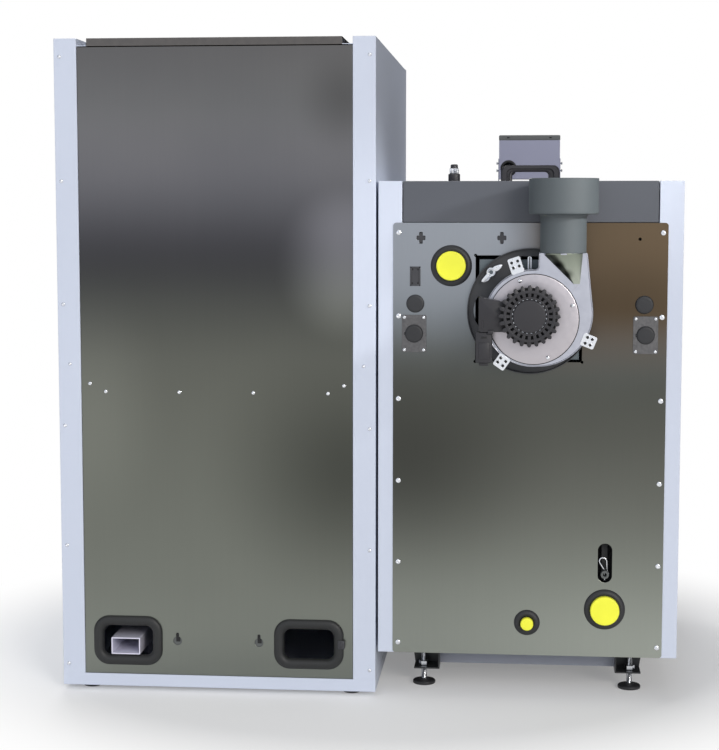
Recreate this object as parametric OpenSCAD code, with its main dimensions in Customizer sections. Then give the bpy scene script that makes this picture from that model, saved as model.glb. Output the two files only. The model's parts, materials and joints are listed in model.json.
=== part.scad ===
// Pellet boiler with a fuel hopper beside it. The rear faces -Y and Z is up.
// Built with the left rear corner of the boiler at X 0 and Y 0, floor at Z 0.

/* [Hopper] */
// Width of the hopper
hopper_w = 648; // [600:2:760]
// Height of the hopper above the floor
hopper_h = 1330; // [1300:5:1500]
// Width of the white corner strips of the hopper
hopper_strip = 46; // [40:1:56]
// Height of the round glides under the hopper
glide_h = 10; // [6:1:14]
// Top of the base tray of the hopper
tray_top = 35.5; // [30:0.5:40]
// Width of the rubber ring round each port
port_w = 143; // [130:1:160]
// Height of the rubber ring round each port
port_h = 102.5; // [96:0.5:110]
// Distance from a port's rubber ring to the corner strip beside it
port_edge = 19.2; // [14:0.2:24]

/* [Casing] */
// Depth of both casings
case_depth = 902; // [902:2:980]
// Gap between hopper and boiler
unit_gap = 5; // [3:1:12]
// Sheet thickness of the casings
sheet = 1.5; // [1.2:0.1:1.8]

/* [Boiler] */
// Width of the boiler
boiler_w = 600; // [600:2:680]
// Height of the boiler casing over its frame
case_h = 951; // [951:1:1050]
// Width of the white corner strips of the boiler
boiler_strip = 47.5; // [44:0.5:49]
// Length of the opening of the lift-off cover from the rear
cover_depth = 640; // [600:5:640]
// Wall of the boiler vessel
vessel_wall = 5; // [4:0.5:6]
// Distance from the casing's side to the boiler vessel
vessel_side = 70; // [66:1:74]
// Water gap between the vessel's side and the fire chamber
water_gap = 40; // [36:1:46]
// Height of the fire chamber
chamber_h = 350; // [340:5:360]
// Outer radius of the smoke tubes
tube_r = 36; // [34:0.5:38]
// Outer radius of the burner pot
pot_r = 75; // [70:1:84]
// Height of the burner pot
pot_h = 155; // [120:5:155]

/* [Doors] */
// Distance from the casing's side to the edge of the fire door
door_edge = 104; // [100:1:108]
// Height of the fire door
door_h = 362; // [350:2:366]
// Height of the drawer's front
drawer_h = 116; // [110:1:120]
// Distance from the casing's side to the edge of the drawer's front
drawer_edge = 102; // [98:1:106]
// Length of the door lever below its shaft
lever_len = 120; // [80:5:140]

/* [Controls] */
// Width of the control box
control_w = 142.8; // [130:0.4:160]
// Height of the control box
control_h = 102.5; // [95:0.5:120]
// Depth of the control box
control_d = 68; // [50:1:90]

/* [Feed] */
// Height of the feed auger above the floor
auger_z = 300; // [296:1:304]
// Radius of the auger flight
flight_r = 40; // [36:0.5:41]
// Pitch of the auger flight
flight_pitch = 60; // [50:5:75]
// Radius of the auger shaft
auger_shaft_r = 10; // [8:0.5:12]

/* [Fan] */
// Radius of the ring flange
ring_r = 124; // [122:1:126]
// Radius of the cover plate
cover_plate_r = 87; // [85:0.5:88]
// Radius of the impeller
impeller_r = 74; // [66:1:76]
// Inner radius of the flue socket
flue_r = 65.5; // [60:0.5:66]
// Height of the wide part of the flue adaptor
flue_socket_h = 69; // [60:1:90]

/* [Fits] */
// Radial clearance of turning and sliding parts
running = 0.05; // [0.03:0.01:0.08]
// Clearance between fixed curved parts
seat = 0.3; // [0.3:0.05:0.5]

/* [Hidden] */
$fn = 48;

white = "#d0d7e6";
zinc = "#8a8c86";
dark = "#55585c";
black = "#232425";
steel = "#b4b9c8";
yellow = "#ffff50";

// Hopper limits
hx1 = -unit_gap;
hx0 = hx1 - hopper_w;
hxc = (hx0 + hx1) / 2;
hsx0 = hx0 + hopper_strip;
hsx1 = hx1 - hopper_strip;
hopper_up = hopper_h - 1330;
port_z = 105.5;
port_x = [hsx0 + port_edge + port_w / 2, hsx1 - port_edge - port_w / 2];
keyhole_x = [port_x[0] + port_w / 2 + 31.3, port_x[1] - port_w / 2 - 31.3];
row_pitch = (hsx1 - hsx0 - 101) / 3;
glide_in = 52;
glide_y = [40, case_depth - 40];
lip_depth = 80;
skin_end = case_depth - 42;
front_start = case_depth - 41;

// Boiler limits, side and height shifts that follow the sizes above
wide = boiler_w - 600;
mid = wide / 2;
up = case_h - 951;
deep = case_depth - 902;
frame_top = 95;
case_top = frame_top + case_h;
panel_top = case_top - 82;
ledge_z = case_top - 14.5;
cover_gap = 2;
boiler_x = boiler_w / 2;

// Drawer and ash space, from the drawer's front upwards
drawer_low = frame_top + 27;
ash_x0 = drawer_edge + 8;
ash_x1 = boiler_w - ash_x0;
ash_y0 = 170;
ash_low = drawer_low + 13;
ash_top = drawer_low + drawer_h;

// Vessel, its smoke box and the fire chamber inside it
vx0 = vessel_side;
vx1 = boiler_w - vessel_side;
vy0 = 60;
vy1 = case_depth - 52;
vz0 = 125;
vz1 = case_top - 141;
chamber_x0 = vx0 + water_gap;
chamber_x1 = vx1 - water_gap;
chamber_y0 = 160;
chamber_low = ash_top + 7;
chamber_top = chamber_low + chamber_h;
smoke_floor = vz1 - 50;
smoke_y1 = 800;
tube_x = [boiler_x - 120, boiler_x, boiler_x + 120];
tube_y = [330, 600];
auger_y = 450;
igniter_z = chamber_low + 85;

// Rear fittings
flow_x = 145.5;
flow_z = 879 + up;
return_x = 455.5 + wide;
return_z = 192;
drain_x = 301 + mid;
drain_z = 162;
pipe_r = 24.15;
drain_r = 10.65;
pipe_end = -17;
rod_x = 455.3 + wide;
rod_z = 262.5;
disc_pts = [[74.2, 803.5], [525.4 + wide, 803.3], [72, 743.8], [528.5 + wide, 743.4]];
vent_x = 145.9;
vent_y = 110;

// Fan
ring_x = 301.5 + mid;
ring_z = 790 + up;
fan_x = 300 + mid;
fan_z = 788 + up;
volute_x = 306.5 + mid;
volute_z = 781.5 + up;
flue_x = 364 + mid;
flue_y = -72;
flue_base = 907 + up;
flue_step = 981 + up;
plate_x = 308 + mid;
plate_z = 779.5 + up;
fan_front = -95;
fan_back = -40;
motor_tip = -150;
stud_x = 224.5 + mid;
stud_z = 867 + up;

// Feet
foot_x = [88, 514 + wide];
foot_y = [118, case_depth - 118];
foot_r = 23.5;
spindle_r = 6;

// Doors and drawer
door_tip = case_depth + 43;
door_face = case_depth + 1;
door_low = ash_top + 6;
door_high = door_low + door_h;
hinge_x = boiler_w - door_edge - 10;
hinge_y = case_depth + 7;
hinge_zs = [door_low + 46, door_high - 66];
lever_x = door_edge + 46;
lever_z = (door_low + door_high) / 2;

// Control box
control_x0 = boiler_x - control_w / 2;
control_x1 = boiler_x + control_w / 2;
control_y0 = 700;
control_y1 = control_y0 + control_d;
control_low = case_top + 13.5;
control_high = control_low + control_h;
switch_z = control_low + 60;
switch_x = control_x1 - 24.4;

// Lid
lid_axis_y = 308;
lid_axis_z = 1338 + hopper_up;

// Middle of the whole outline, moved to the origin
mid_x = (hx0 + boiler_w) / 2;
mid_y = (motor_tip + door_tip) / 2;

module placed() translate([-mid_x, -mid_y, 0]) children();

module box(x0, x1, y0, y1, z0, z1)
  translate([x0, y0, z0]) cube([x1 - x0, y1 - y0, z1 - z0]);

module xcyl(y, z, x0, x1, r)
  translate([x0, y, z]) rotate([0, 90, 0]) cylinder(h = x1 - x0, r = r);

module ycyl(x, z, y0, y1, r)
  translate([x, y1, z]) rotate([90, 0, 0]) cylinder(h = y1 - y0, r = r);

module zcyl(x, y, z0, z1, r)
  translate([x, y, z0]) cylinder(h = z1 - z0, r = r);

// Flat shapes in X and Z, or in Y and Z, given a thickness
module along_y(y0, y1)
  translate([0, y1, 0]) rotate([90, 0, 0]) linear_extrude(height = y1 - y0) children();

module along_x(x0, x1)
  translate([x0, 0, 0]) rotate([90, 0, 90]) linear_extrude(height = x1 - x0) children();

module rect(x0, x1, z0, z1) translate([x0, z0]) square([x1 - x0, z1 - z0]);

module disc(x, z, r) translate([x, z]) circle(r = r);

module round_rect(x0, x1, z0, z1, r) {
  rect(x0 + r, x1 - r, z0, z1);
  rect(x0, x1, z0 + r, z1 - r);
  for (x = [x0 + r, x1 - r], z = [z0 + r, z1 - r]) disc(x, z, r);
}

module around(x, z, w, h, r)
  round_rect(x - w / 2, x + w / 2, z - h / 2, z + h / 2, r);

// A folded side panel, its outer skin at X 0 before it is placed
module side_panel(x_out, side, w, z0, z1)
  translate([x_out, 0, 0]) mirror([side < 0 ? 1 : 0, 0, 0]) {
    box(0, sheet, 0, skin_end, z0, z1);
    box(0, w, 0, sheet, z0, z1);
    box(w - sheet, w, 0, lip_depth, z0, z1);
    box(0, w, 0, skin_end, z1 - sheet, z1);
    box(0, w, 0, skin_end, z0, z0 + sheet);
  }

// A front panel folded back at all four edges
module front_tray(x0, x1, z0, z1) difference() {
  box(x0, x1, front_start, case_depth, z0, z1);
  box(x0 + sheet, x1 - sheet, front_start - 1, case_depth - sheet, z0 + sheet, z1 - sheet);
}

module hopper_base() color(white) placed() difference() {
  box(hx0, hx1, 0, case_depth, glide_h, tray_top);
  box(hx0 + 2, hx1 - 2, 2, case_depth - 2, glide_h + 2, tray_top + 1);
  for (x = [hx0 + glide_in, hx1 - glide_in], y = glide_y)
    zcyl(x, y, glide_h - 1, glide_h + 3, 4 + seat);
}

module hopper_glides() color(black) placed()
  for (x = [hx0 + glide_in, hx1 - glide_in], y = glide_y) {
    zcyl(x, y, 0, glide_h, 20);
    zcyl(x, y, glide_h, glide_h + 9, 4);
  }

module hopper_left_panel() color(white) placed()
  side_panel(hx0, 1, hopper_strip, tray_top, hopper_h);

module hopper_right_panel() color(white) placed() difference() {
  side_panel(hx1, -1, hopper_strip, tray_top, hopper_h);
  xcyl(auger_y, auger_z, hx1 - 3, hx1 + 1, 48);
}

module hopper_rear_panel() color(zinc) placed() {
  top = 1313 + hopper_up;
  difference() {
    along_y(3, 3 + sheet) difference() {
      rect(hsx0, hsx1, tray_top, top);
      for (x = port_x) around(x, port_z, port_w - 20, port_h - 20, 22);
      for (x = keyhole_x) {
        disc(x, 106.5, 9);
        around(x, 113, 6, 21, 2.9);
      }
    }
  }
  for (x = [hsx0, hsx1 - sheet]) box(x, x + sheet, 3, 20, tray_top, top);
}

module hopper_front_panel() color(white) placed()
  front_tray(hx0, hx1, tray_top, hopper_h);

module hopper_top_panel() color(zinc) placed() {
  gutter = 1314.5 + hopper_up;
  rise_x0 = hsx0 + 21;
  rise_x1 = hsx1 - 21;
  box(hsx0, rise_x0 + sheet, sheet, skin_end, gutter, gutter + sheet);
  box(rise_x1 - sheet, hsx1, sheet, skin_end, gutter, gutter + sheet);
  box(rise_x0, rise_x0 + sheet, 0, skin_end, gutter, hopper_h);
  box(rise_x1 - sheet, rise_x1, 0, skin_end, gutter, hopper_h);
  box(rise_x0, rise_x1, 0, sheet, gutter, hopper_h);
  box(rise_x0, rise_x1, skin_end - sheet, skin_end, gutter, hopper_h);
  difference() {
    box(rise_x0, rise_x1, 0, skin_end, hopper_h - sheet, hopper_h);
    box(hsx0 + 47, hsx1 - 47, 330, skin_end - 10, hopper_h - 3, hopper_h + 1);
  }
  difference() {
    box(hsx0 + 47 - sheet, hsx1 - 47 + sheet, 330 - sheet, skin_end - 10 + sheet,
      hopper_h - sheet, hopper_h + 10);
    box(hsx0 + 47, hsx1 - 47, 330, skin_end - 10, hopper_h - 3, hopper_h + 11);
  }
}

module hopper_lid() color(white) placed() {
  x0 = hsx0 + 32;
  x1 = hsx1 - 32;
  low = hopper_h + 1;
  high = hopper_h + 15;
  y1 = skin_end + 5;
  difference() {
    box(x0, x1, 315, y1, low, high);
    box(x0 + sheet, x1 - sheet, 315 + sheet, y1 - sheet, low - 1, high - sheet);
  }
  for (x = [x0 + 40, x1 - 60]) difference() {
    union() {
      xcyl(lid_axis_y, lid_axis_z, x, x + 20, 6.5);
      box(x, x + 20, lid_axis_y, 316, low + 1, high);
    }
    xcyl(lid_axis_y, lid_axis_z, x - 1, x + 21, 4 + running);
  }
  difference() {
    box(hxc - 70, hxc + 70, y1 - 60, y1 - 40, high, high + 22);
    box(hxc - 56, hxc + 56, y1 - 61, y1 - 39, high - 1, high + 12);
  }
}

module lid_hinge_pin(x) {
  xcyl(lid_axis_y, lid_axis_z, x - 10, x + 30, 4);
  for (bx = [x - 10, x + 22]) {
    box(bx, bx + 8, lid_axis_y - 6, lid_axis_y + 6, hopper_h, lid_axis_z);
    xcyl(lid_axis_y, lid_axis_z, bx, bx + 8, 6);
  }
}

module door_hinge_pin(z) {
  zcyl(hinge_x, hinge_y, z, z + 40, 4);
  for (k = [z, z + 28]) {
    zcyl(hinge_x, hinge_y, k, k + 12, 6.5);
    box(hinge_x, hinge_x + 26, case_depth, case_depth + 3, k, k + 12);
  }
  box(hinge_x + 9, hinge_x + 26, case_depth, case_depth + 3, z, z + 40);
}

module hinges() color(steel) placed() {
  for (x = [hsx0 + 72, hsx1 - 92]) lid_hinge_pin(x);
  for (z = hinge_zs) door_hinge_pin(z);
}

// Section of the bin in Y and Z, grown by t outwards
module bin_section(t) {
  low = auger_z;
  polygon([[6.5 - t, 645], [6.5 - t, 612 - t], [auger_y - 43 - t, low - t],
    [auger_y + 43 + t, low - t], [skin_end - 4 + t, 612 - t], [skin_end - 4 + t, 645]]);
  disc(auger_y, auger_z, 43 + t);
}

module hopper_bin() color(steel) placed() {
  x0 = hsx0 + 6;
  x1 = hsx1 - 6;
  difference() {
    along_x(x0, x1) bin_section(2);
    along_x(x0 + 2, x1 - 2) union() {
      bin_section(0);
      rect(6.5, skin_end - 4, 612, 646);
    }
    xcyl(auger_y, auger_z, x0 - 1, x0 + 3, auger_shaft_r + running);
    xcyl(auger_y, auger_z, x1 - 3, x1 + 1, 43);
  }
}

module auger_tube() color(steel) placed() difference() {
  xcyl(auger_y, auger_z, hsx1 - 6, boiler_x - pot_r + 3, 46);
  xcyl(auger_y, auger_z, hsx1 - 7, boiler_x - pot_r + 4, 43);
}

module feed_auger() color(zinc) placed() {
  x0 = hsx0 + 6;
  x1 = boiler_x - pot_r + 1;
  length = floor((x1 - x0 - 6) / flight_pitch) * flight_pitch;
  xcyl(auger_y, auger_z, x0 - 11, x1, auger_shaft_r);
  translate([x0 + 3, auger_y, auger_z]) rotate([0, 90, 0])
    linear_extrude(height = length, twist = -360 * length / flight_pitch,
      slices = round(length / flight_pitch * 12), $fn = 4)
      polygon([[auger_shaft_r + 0.2, -1.6], [flight_r, -6], [flight_r, 6],
        [auger_shaft_r + 0.2, 1.6]]);
}

module auger_motor() color(dark) placed() {
  x1 = hsx0 + 6;
  difference() {
    box(x1 - 44, x1, auger_y - 32, auger_y + 32, 140, auger_z + 42);
    xcyl(auger_y, auger_z, x1 - 12, x1 + 1, auger_shaft_r + running);
  }
  xcyl(auger_y, 180, x1, x1 + 150, 40);
  xcyl(auger_y, 180, x1 + 150, x1 + 158, 34);
}

module port_grommets() color(black) placed() {
  for (x = port_x) difference() {
    union() {
      along_y(-1, 3) around(x, port_z, port_w, port_h, 32);
      along_y(3, 3 + sheet) around(x, port_z, port_w - 20 - seat * 2, port_h - 20 - seat * 2, 21.7);
      along_y(3 + sheet, 8) around(x, port_z, port_w - 10, port_h - 10, 27);
    }
    along_y(-2, 9) around(x, port_z, port_w - 40, port_h - 41, 15);
  }
  clip_x = port_x[1] + port_w / 2 - 4;
  box(clip_x - 7, clip_x + 7, -4, -1, port_z - 7, port_z + 11);
}

module cable_duct() color(steel) placed() {
  x = port_x[0] - 5.2;
  difference() {
    box(x - 30, x + 30, 0, 300, 76.4, 111.4);
    box(x - 27.5, x + 27.5, -1, 301, 78.9, 108.9);
  }
  box(x - 8, x + 8, 240, 260, glide_h + 2, 76.4);
}

// One pressed foot bracket; side is 1 on the left, front is 1 at the front
module foot_bracket(x_in, side, y_edge, front)
  translate([x_in, y_edge, 0]) mirror([side < 0 ? 1 : 0, 0, 0])
    mirror([0, front > 0 ? 1 : 0, 0]) difference() {
      union() {
        box(-53, 0, 0, 55, 36, 39);
        box(-3, 0, 0, 55, 36, 92);
        along_y(52, 55) polygon([[-53, 36], [0, 36], [0, 92], [-61, 92]]);
      }
      zcyl(side > 0 ? -33 : -31, 23, 35, 40, spindle_r + running);
    }

module base_frame() color(dark) placed() {
  y_front = case_depth - 95;
  box(2, boiler_w - 2, 12, case_depth - 14, 92, frame_top);
  foot_bracket(foot_x[0] + 33, 1, 95, 0);
  foot_bracket(foot_x[1] - 31, -1, 95, 0);
  foot_bracket(foot_x[0] + 33, 1, y_front, 1);
  foot_bracket(foot_x[1] - 31, -1, y_front, 1);
  for (y = [127, y_front - 35])
    box(foot_x[0] + 33, foot_x[1] - 31, y, y + 3, 42, 92);
}

module foot(x, y) placed() {
  zcyl(x, y, 0, 3, foot_r);
  zcyl(x, y, 3, 9, foot_r - 2);
  zcyl(x, y, 9, 68, spindle_r);
}

module foot_rear_left() color(black) foot(foot_x[0], foot_y[0]);
module foot_rear_right() color(black) foot(foot_x[1], foot_y[0]);
module foot_front_left() color(black) foot(foot_x[0], foot_y[1]);
module foot_front_right() color(black) foot(foot_x[1], foot_y[1]);

// Ledge and upright lip that carry the top of the boiler
module top_ledge(x_out, side)
  translate([x_out, 0, 0]) mirror([side < 0 ? 1 : 0, 0, 0]) {
    box(0, 60, sheet + 0.5, skin_end, ledge_z - sheet, ledge_z);
    box(boiler_strip - sheet, boiler_strip, 0, skin_end, ledge_z - sheet, case_top);
  }

module boiler_left_panel() color(white) placed() difference() {
  union() {
    side_panel(0, 1, boiler_strip, frame_top, case_top);
    top_ledge(0, 1);
  }
  xcyl(auger_y, auger_z, -1, 3, 48);
}

module boiler_right_panel() color(white) placed() {
  side_panel(boiler_w, -1, boiler_strip, frame_top, case_top);
  top_ledge(boiler_w, -1);
}

module cross_slot(x, z) {
  around(x, z, 7.1, 22.9, 2);
  around(x, z, 17.6, 8.9, 2);
}

module boiler_rear_panel() color(zinc) placed()
  along_y(-sheet, 0) difference() {
    round_rect(30, boiler_w - 30, frame_top, panel_top, 6);
    rect(ring_x - 108, ring_x + 103, ring_z - 101, ring_z + 109.5);
    for (x = [ring_x - 108, ring_x + 103], z = [ring_z - 101, ring_z + 109.5]) disc(x, z, 3);
    disc(flow_x, flow_z, 34);
    disc(return_x, return_z, 34);
    disc(drain_x, drain_z, 20);
    around(rod_x, 286.2, 28.4, 79, 14.1);
    cross_slot(85, panel_top - 30);
    cross_slot(245, panel_top - 30);
    disc(boiler_w - 85, panel_top - 32, 3);
    for (p = disc_pts) disc(p[0], p[1] + up, 14);
    rect(66, 82, 841 + up, 875 + up);
  }

module boiler_front_panel() color(white) placed() difference() {
  front_tray(0, boiler_w, frame_top, case_top);
  box(door_edge + 8, hinge_x - 14, case_depth - 5, case_depth + 1, door_low + 6, door_high - 6);
  box(ash_x0, ash_x1, case_depth - 5, case_depth + 1, drawer_low + 8, ash_top - 6);
}

// A shallow lid sheet with folded edges that rests on the ledges
module top_sheet(y0, y1) difference() {
  x0 = boiler_strip + cover_gap;
  box(x0, boiler_w - x0, y0, y1, ledge_z, case_top);
  box(x0 + sheet, boiler_w - x0 - sheet, y0 + sheet, y1 - sheet, ledge_z - 1, case_top - sheet);
}

module boiler_top_front() color(dark) placed() top_sheet(cover_depth + 2, skin_end);

module boiler_top_cover() color(dark) placed() {
  x0 = boiler_strip + cover_gap;
  difference() {
    top_sheet(0, cover_depth);
    zcyl(vent_x, vent_y, ledge_z, case_top + 1, 13.5);
  }
  box(x0, boiler_w - x0, 0, sheet, panel_top + 1, case_top);
}

module top_handle() color(black) placed()
  along_y(108, 132) difference() {
    round_rect(boiler_x - 59.5, boiler_x + 59.5, case_top - 14, case_top + 33, 13.5);
    round_rect(boiler_x - 36.5, boiler_x + 36.5, case_top - 14, case_top + 19.5, 8);
    rect(boiler_x - 61, boiler_x + 61, case_top - 15, case_top);
  }

module fire_door() color(white) placed() difference() {
  union() {
    box(door_edge, hinge_x - 8, door_face, door_face + 4, door_low, door_high);
    difference() {
      box(door_edge + 18, hinge_x - 20, vy1 + 3, door_face, door_low + 18, door_high - 18);
      box(door_edge + 22, hinge_x - 24, vy1 + 7, door_face + 1, door_low + 22, door_high - 22);
    }
    ycyl(lever_x, lever_z, door_face - 14, door_face, 12);
    for (z = hinge_zs) {
      zcyl(hinge_x, hinge_y, z + 13, z + 27, 6.5);
      box(hinge_x - 10, hinge_x, door_face, door_face + 4, z + 13, z + 27);
    }
  }
  ycyl(lever_x, lever_z, door_face - 15, door_face + 5, 5 + running);
  for (z = hinge_zs) zcyl(hinge_x, hinge_y, z + 12, z + 28, 4 + running);
}

module door_handle() color(black) placed() {
  y = door_face + 33;
  ycyl(lever_x, lever_z, door_face - 11, y, 5);
  ycyl(lever_x, lever_z, door_face + 5, y - 9, 14);
  zcyl(lever_x, y, lever_z - lever_len, lever_z + 10, 9);
  translate([lever_x, y, lever_z - lever_len]) sphere(r = 9);
  translate([lever_x, y, lever_z + 10]) sphere(r = 9);
}

module ash_drawer() color(zinc) placed() {
  x0 = ash_x0 + 10;
  x1 = ash_x1 - 10;
  floor_z = ash_low + 4;
  grip_z = (drawer_low + ash_top) / 2 - 6;
  difference() {
    box(x0, x1, ash_y0 + 10, door_face, floor_z, ash_top - 13);
    box(x0 + 2, x1 - 2, ash_y0 + 12, door_face - 2, floor_z + 2, ash_top - 12);
  }
  box(drawer_edge, boiler_w - drawer_edge, door_face, door_face + 3, drawer_low, ash_top);
  difference() {
    box(boiler_x - 62, boiler_x + 62, door_face + 3, door_face + 34, grip_z, grip_z + 14);
    box(boiler_x - 50, boiler_x + 50, door_face + 2, door_face + 24, grip_z - 1, grip_z + 15);
  }
  for (x = [x0 + 20, x1 - 32]) box(x, x + 12, ash_y0 + 30, vy1 - 20, ash_low, floor_z);
}

// Box grown by the vessel's wall at both sides and at the rear
module walled(x0, x1, y0, y1, z0, z1)
  box(x0 - vessel_wall, x1 + vessel_wall, y0 - vessel_wall, y1, z0, z1);

// Outer jacket of the vessel, with the smoke box and the fan's space let into it
module boiler_vessel() color(dark) placed() {
  wall = vessel_wall;
  fan_low = ring_z - 105;
  difference() {
    union() {
      difference() {
        box(vx0, vx1, vy0, vy1, vz0, vz1);
        box(vx0 + wall, vx1 - wall, vy0 + wall, vy1 - wall, vz0 + wall, vz1 - wall);
      }
      walled(chamber_x0, chamber_x1, chamber_y0, smoke_y1 + wall, smoke_floor - wall, vz1);
      walled(fan_x - 110, fan_x + 110, vy0 + wall, chamber_y0, fan_low - wall, vz1);
      xcyl(auger_y, auger_z, vx0, chamber_x0 - wall, 52);
      ycyl(boiler_x, igniter_z, vy0, chamber_y0 - wall, 12);
    }
    box(chamber_x0, chamber_x1, chamber_y0, smoke_y1, smoke_floor, vz1 + 1);
    box(fan_x - 110, fan_x + 110, vy0 - 1, 150, fan_low, vz1 + 1);
    box(fan_x - 70, fan_x + 70, 149, chamber_y0 + 1, vz1 - 45, vz1 - 20);
    for (x = tube_x, y = tube_y) zcyl(x, y, smoke_floor - wall - 1, smoke_floor + 1, tube_r - 3);
    box(door_edge + 26, hinge_x - 28, vy1 - wall - 1, vy1 + 1, door_low + 26, door_high - 26);
    box(ash_x0, ash_x1, vy1 - wall - 1, vy1 + 1, ash_low, ash_top);
    xcyl(auger_y, auger_z, vx0 - 1, chamber_x0, 46 + seat);
    ycyl(boiler_x, igniter_z, vy0 - 1, chamber_y0, 9);
    ycyl(flow_x, flow_z, vy0 - 1, vy0 + 10, pipe_r - 3);
    ycyl(return_x, return_z, vy0 - 1, vy0 + 10, pipe_r - 3);
    ycyl(drain_x, drain_z, vy0 - 1, vy0 + 10, drain_r - 2);
    zcyl(vent_x, vent_y, vz1 - 10, vz1 + 1, 5);
  }
}

// Welded box for the flame, with the ash space under it, open towards the doors
module fire_chamber() color(dark) placed() {
  wall = vessel_wall;
  front = vy1 - wall;
  difference() {
    union() {
      walled(chamber_x0, chamber_x1, chamber_y0, front, ash_top, chamber_top + wall);
      walled(ash_x0, ash_x1, ash_y0, front, vz0 + wall, ash_top);
    }
    box(chamber_x0, chamber_x1, chamber_y0, front + 1, chamber_low, chamber_top);
    box(ash_x0, ash_x1, ash_y0, front + 1, ash_low, ash_top);
    box(boiler_x - 140, boiler_x + 140, 560, 780, ash_top - 1, chamber_low + 1);
    for (x = tube_x, y = tube_y) zcyl(x, y, chamber_top - 1, chamber_top + wall + 1, tube_r - 3);
    xcyl(auger_y, auger_z, chamber_x0 - wall - 1, chamber_x0 + 1, 46 + seat);
    ycyl(boiler_x, igniter_z, chamber_y0 - wall - 1, chamber_y0 + 1, 9);
  }
}

module smoke_tubes() color(dark) placed()
  for (x = tube_x, y = tube_y) difference() {
    zcyl(x, y, chamber_top + vessel_wall, smoke_floor - vessel_wall, tube_r);
    zcyl(x, y, chamber_top, smoke_floor, tube_r - 3);
  }

module smoke_box_lid() color(dark) placed() difference() {
  box(chamber_x0 - 10, chamber_x1 + 10, chamber_y0 - 8, smoke_y1 + 8, vz1, vz1 + 4);
  for (x = tube_x, y = tube_y) zcyl(x, y, vz1 - 1, vz1 + 5, 5 + running);
}

module insulation_mats() color("#c9c29a") placed() difference() {
  union() {
    box(vx0 - 21, vx0, lip_depth + 2, vy1 - 10, 130, vz1 - 5);
    box(vx1, vx1 + 21, lip_depth + 2, vy1 - 10, 130, vz1 - 5);
  }
  xcyl(auger_y, auger_z, vx0 - 22, vx0 + 1, 50);
}

// Iron pot over the end of the auger tube, with the igniter rod through its rear
module burner_pot() color(dark) placed() {
  x = boiler_x;
  rim = chamber_low + pot_h;
  difference() {
    zcyl(x, auger_y, chamber_low, rim, pot_r);
    zcyl(x, auger_y, chamber_low + 6, rim + 1, pot_r - 6);
    xcyl(auger_y, auger_z, x - pot_r - 1, x - pot_r + 16, 46 + seat);
    ycyl(x, igniter_z, auger_y - pot_r - 1, auger_y - pot_r + 10, 6.4);
  }
  difference() {
    zcyl(x, auger_y, rim, rim + 8, pot_r + 6);
    zcyl(x, auger_y, rim - 1, rim + 9, pot_r - 6);
  }
  ycyl(x, igniter_z, 44, auger_y - pot_r + 5, 6);
  ycyl(x, igniter_z, 40, vy0, 14);
}

module turbulators() color(steel) placed() {
  beam = vz1 + 20;
  for (x = tube_x, y = tube_y) {
    translate([x, y, chamber_top + 12])
      linear_extrude(height = smoke_floor - chamber_top - 22, twist = 540, slices = 27,
        $fn = 4)
        square([(tube_r - 7) * 2, 2], center = true);
    zcyl(x, y, smoke_floor - 10, beam, 5);
  }
  for (y = tube_y) box(tube_x[0] - 10, rod_x + 6, y - 8, y + 8, beam, beam + 12);
  box(rod_x - 6, rod_x + 6, 20, tube_y[1], beam, beam + 12);
  box(rod_x - 6, rod_x + 6, 20, 28, rod_z - 8, beam + 12);
  difference() {
    ycyl(rod_x, rod_z, -4, 20, 8);
    ycyl(rod_x, rod_z, -5, 12, 3.8);
    zcyl(rod_x, 3, rod_z - 10, rod_z + 10, 1.5 + running);
  }
}

module r_clip() color(steel) placed() {
  zcyl(rod_x, 3, rod_z - 15, rod_z + 24, 1.5);
  zcyl(rod_x + 9.8, 3, rod_z - 4, rod_z + 24, 1.5);
  translate([rod_x + 4.9, 3, rod_z + 28]) rotate([90, 0, 0])
    rotate_extrude() translate([6.3, 0]) circle(r = 1.5, $fn = 24);
}

module flue_box() color(zinc) placed() {
  x0 = 200 + mid;
  x1 = 400 + mid;
  z0 = ring_z - 98;
  z1 = vz1 - 13;
  difference() {
    box(x0, x1, 12, 150, z0, z1);
    box(x0 + 3, x1 - 3, 15, 151, z0 + 3, z1 - 3);
    ycyl(ring_x, ring_z, 11, 16, 79);
  }
  ycyl(stud_x, stud_z, -14, 12, 4);
}

module fan_flange() color(black) placed() {
  difference() {
    union() {
      ycyl(ring_x, ring_z, -7, -5, ring_r);
      difference() {
        ycyl(ring_x, ring_z, -16, -5, ring_r);
        ycyl(ring_x, ring_z, -17, -4, ring_r - 2);
      }
      ycyl(ring_x, ring_z, -7, 12, 80);
      ycyl(ring_x, ring_z, fan_back, -5, 63);
    }
    ycyl(ring_x, ring_z, -6, 13, 78);
    ycyl(ring_x, ring_z, fan_back - 1, -4, 60);
    ycyl(stud_x, stud_z, -8, -4, 4 + seat);
    box(ring_x - 18.5, ring_x + 15.5, -8, -4, ring_z + 83, ring_z + 108);
    intersection() {
      ycyl(ring_x - 67, ring_z, -8, -4, 45);
      box(ring_x - 115, ring_x - 101.5, -8, -4, ring_z - 40, ring_z + 40);
    }
  }
}

module wing_nut() color(steel) placed() difference() {
  union() {
    ycyl(stud_x, stud_z, -20, -7, 9.8);
    translate([stud_x, 0, stud_z]) along_y(-25, -16.5) rotate(45) square([50, 3], center = true);
  }
  ycyl(stud_x, stud_z, -26, -6, 4 + running);
}

// Outline of the spiral housing, made smaller by t
module spiral(t) {
  disc(volute_x, volute_z, 93 - t);
  intersection() {
    disc(volute_x + 12, volute_z + 10, 102.5 - t);
    rect(volute_x + 10, volute_x + 130, volute_z - 120, volute_z + 120);
  }
  polygon([[volute_x + 11.5 + t, volute_z + 10], [volute_x + 11.5 + t, flue_base - t],
    [volute_x + 103 - t, flue_base - t], [volute_x + 114.3 - t, volute_z + 14],
    [volute_x + 114.3 - t, volute_z + 10]]);
}

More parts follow.
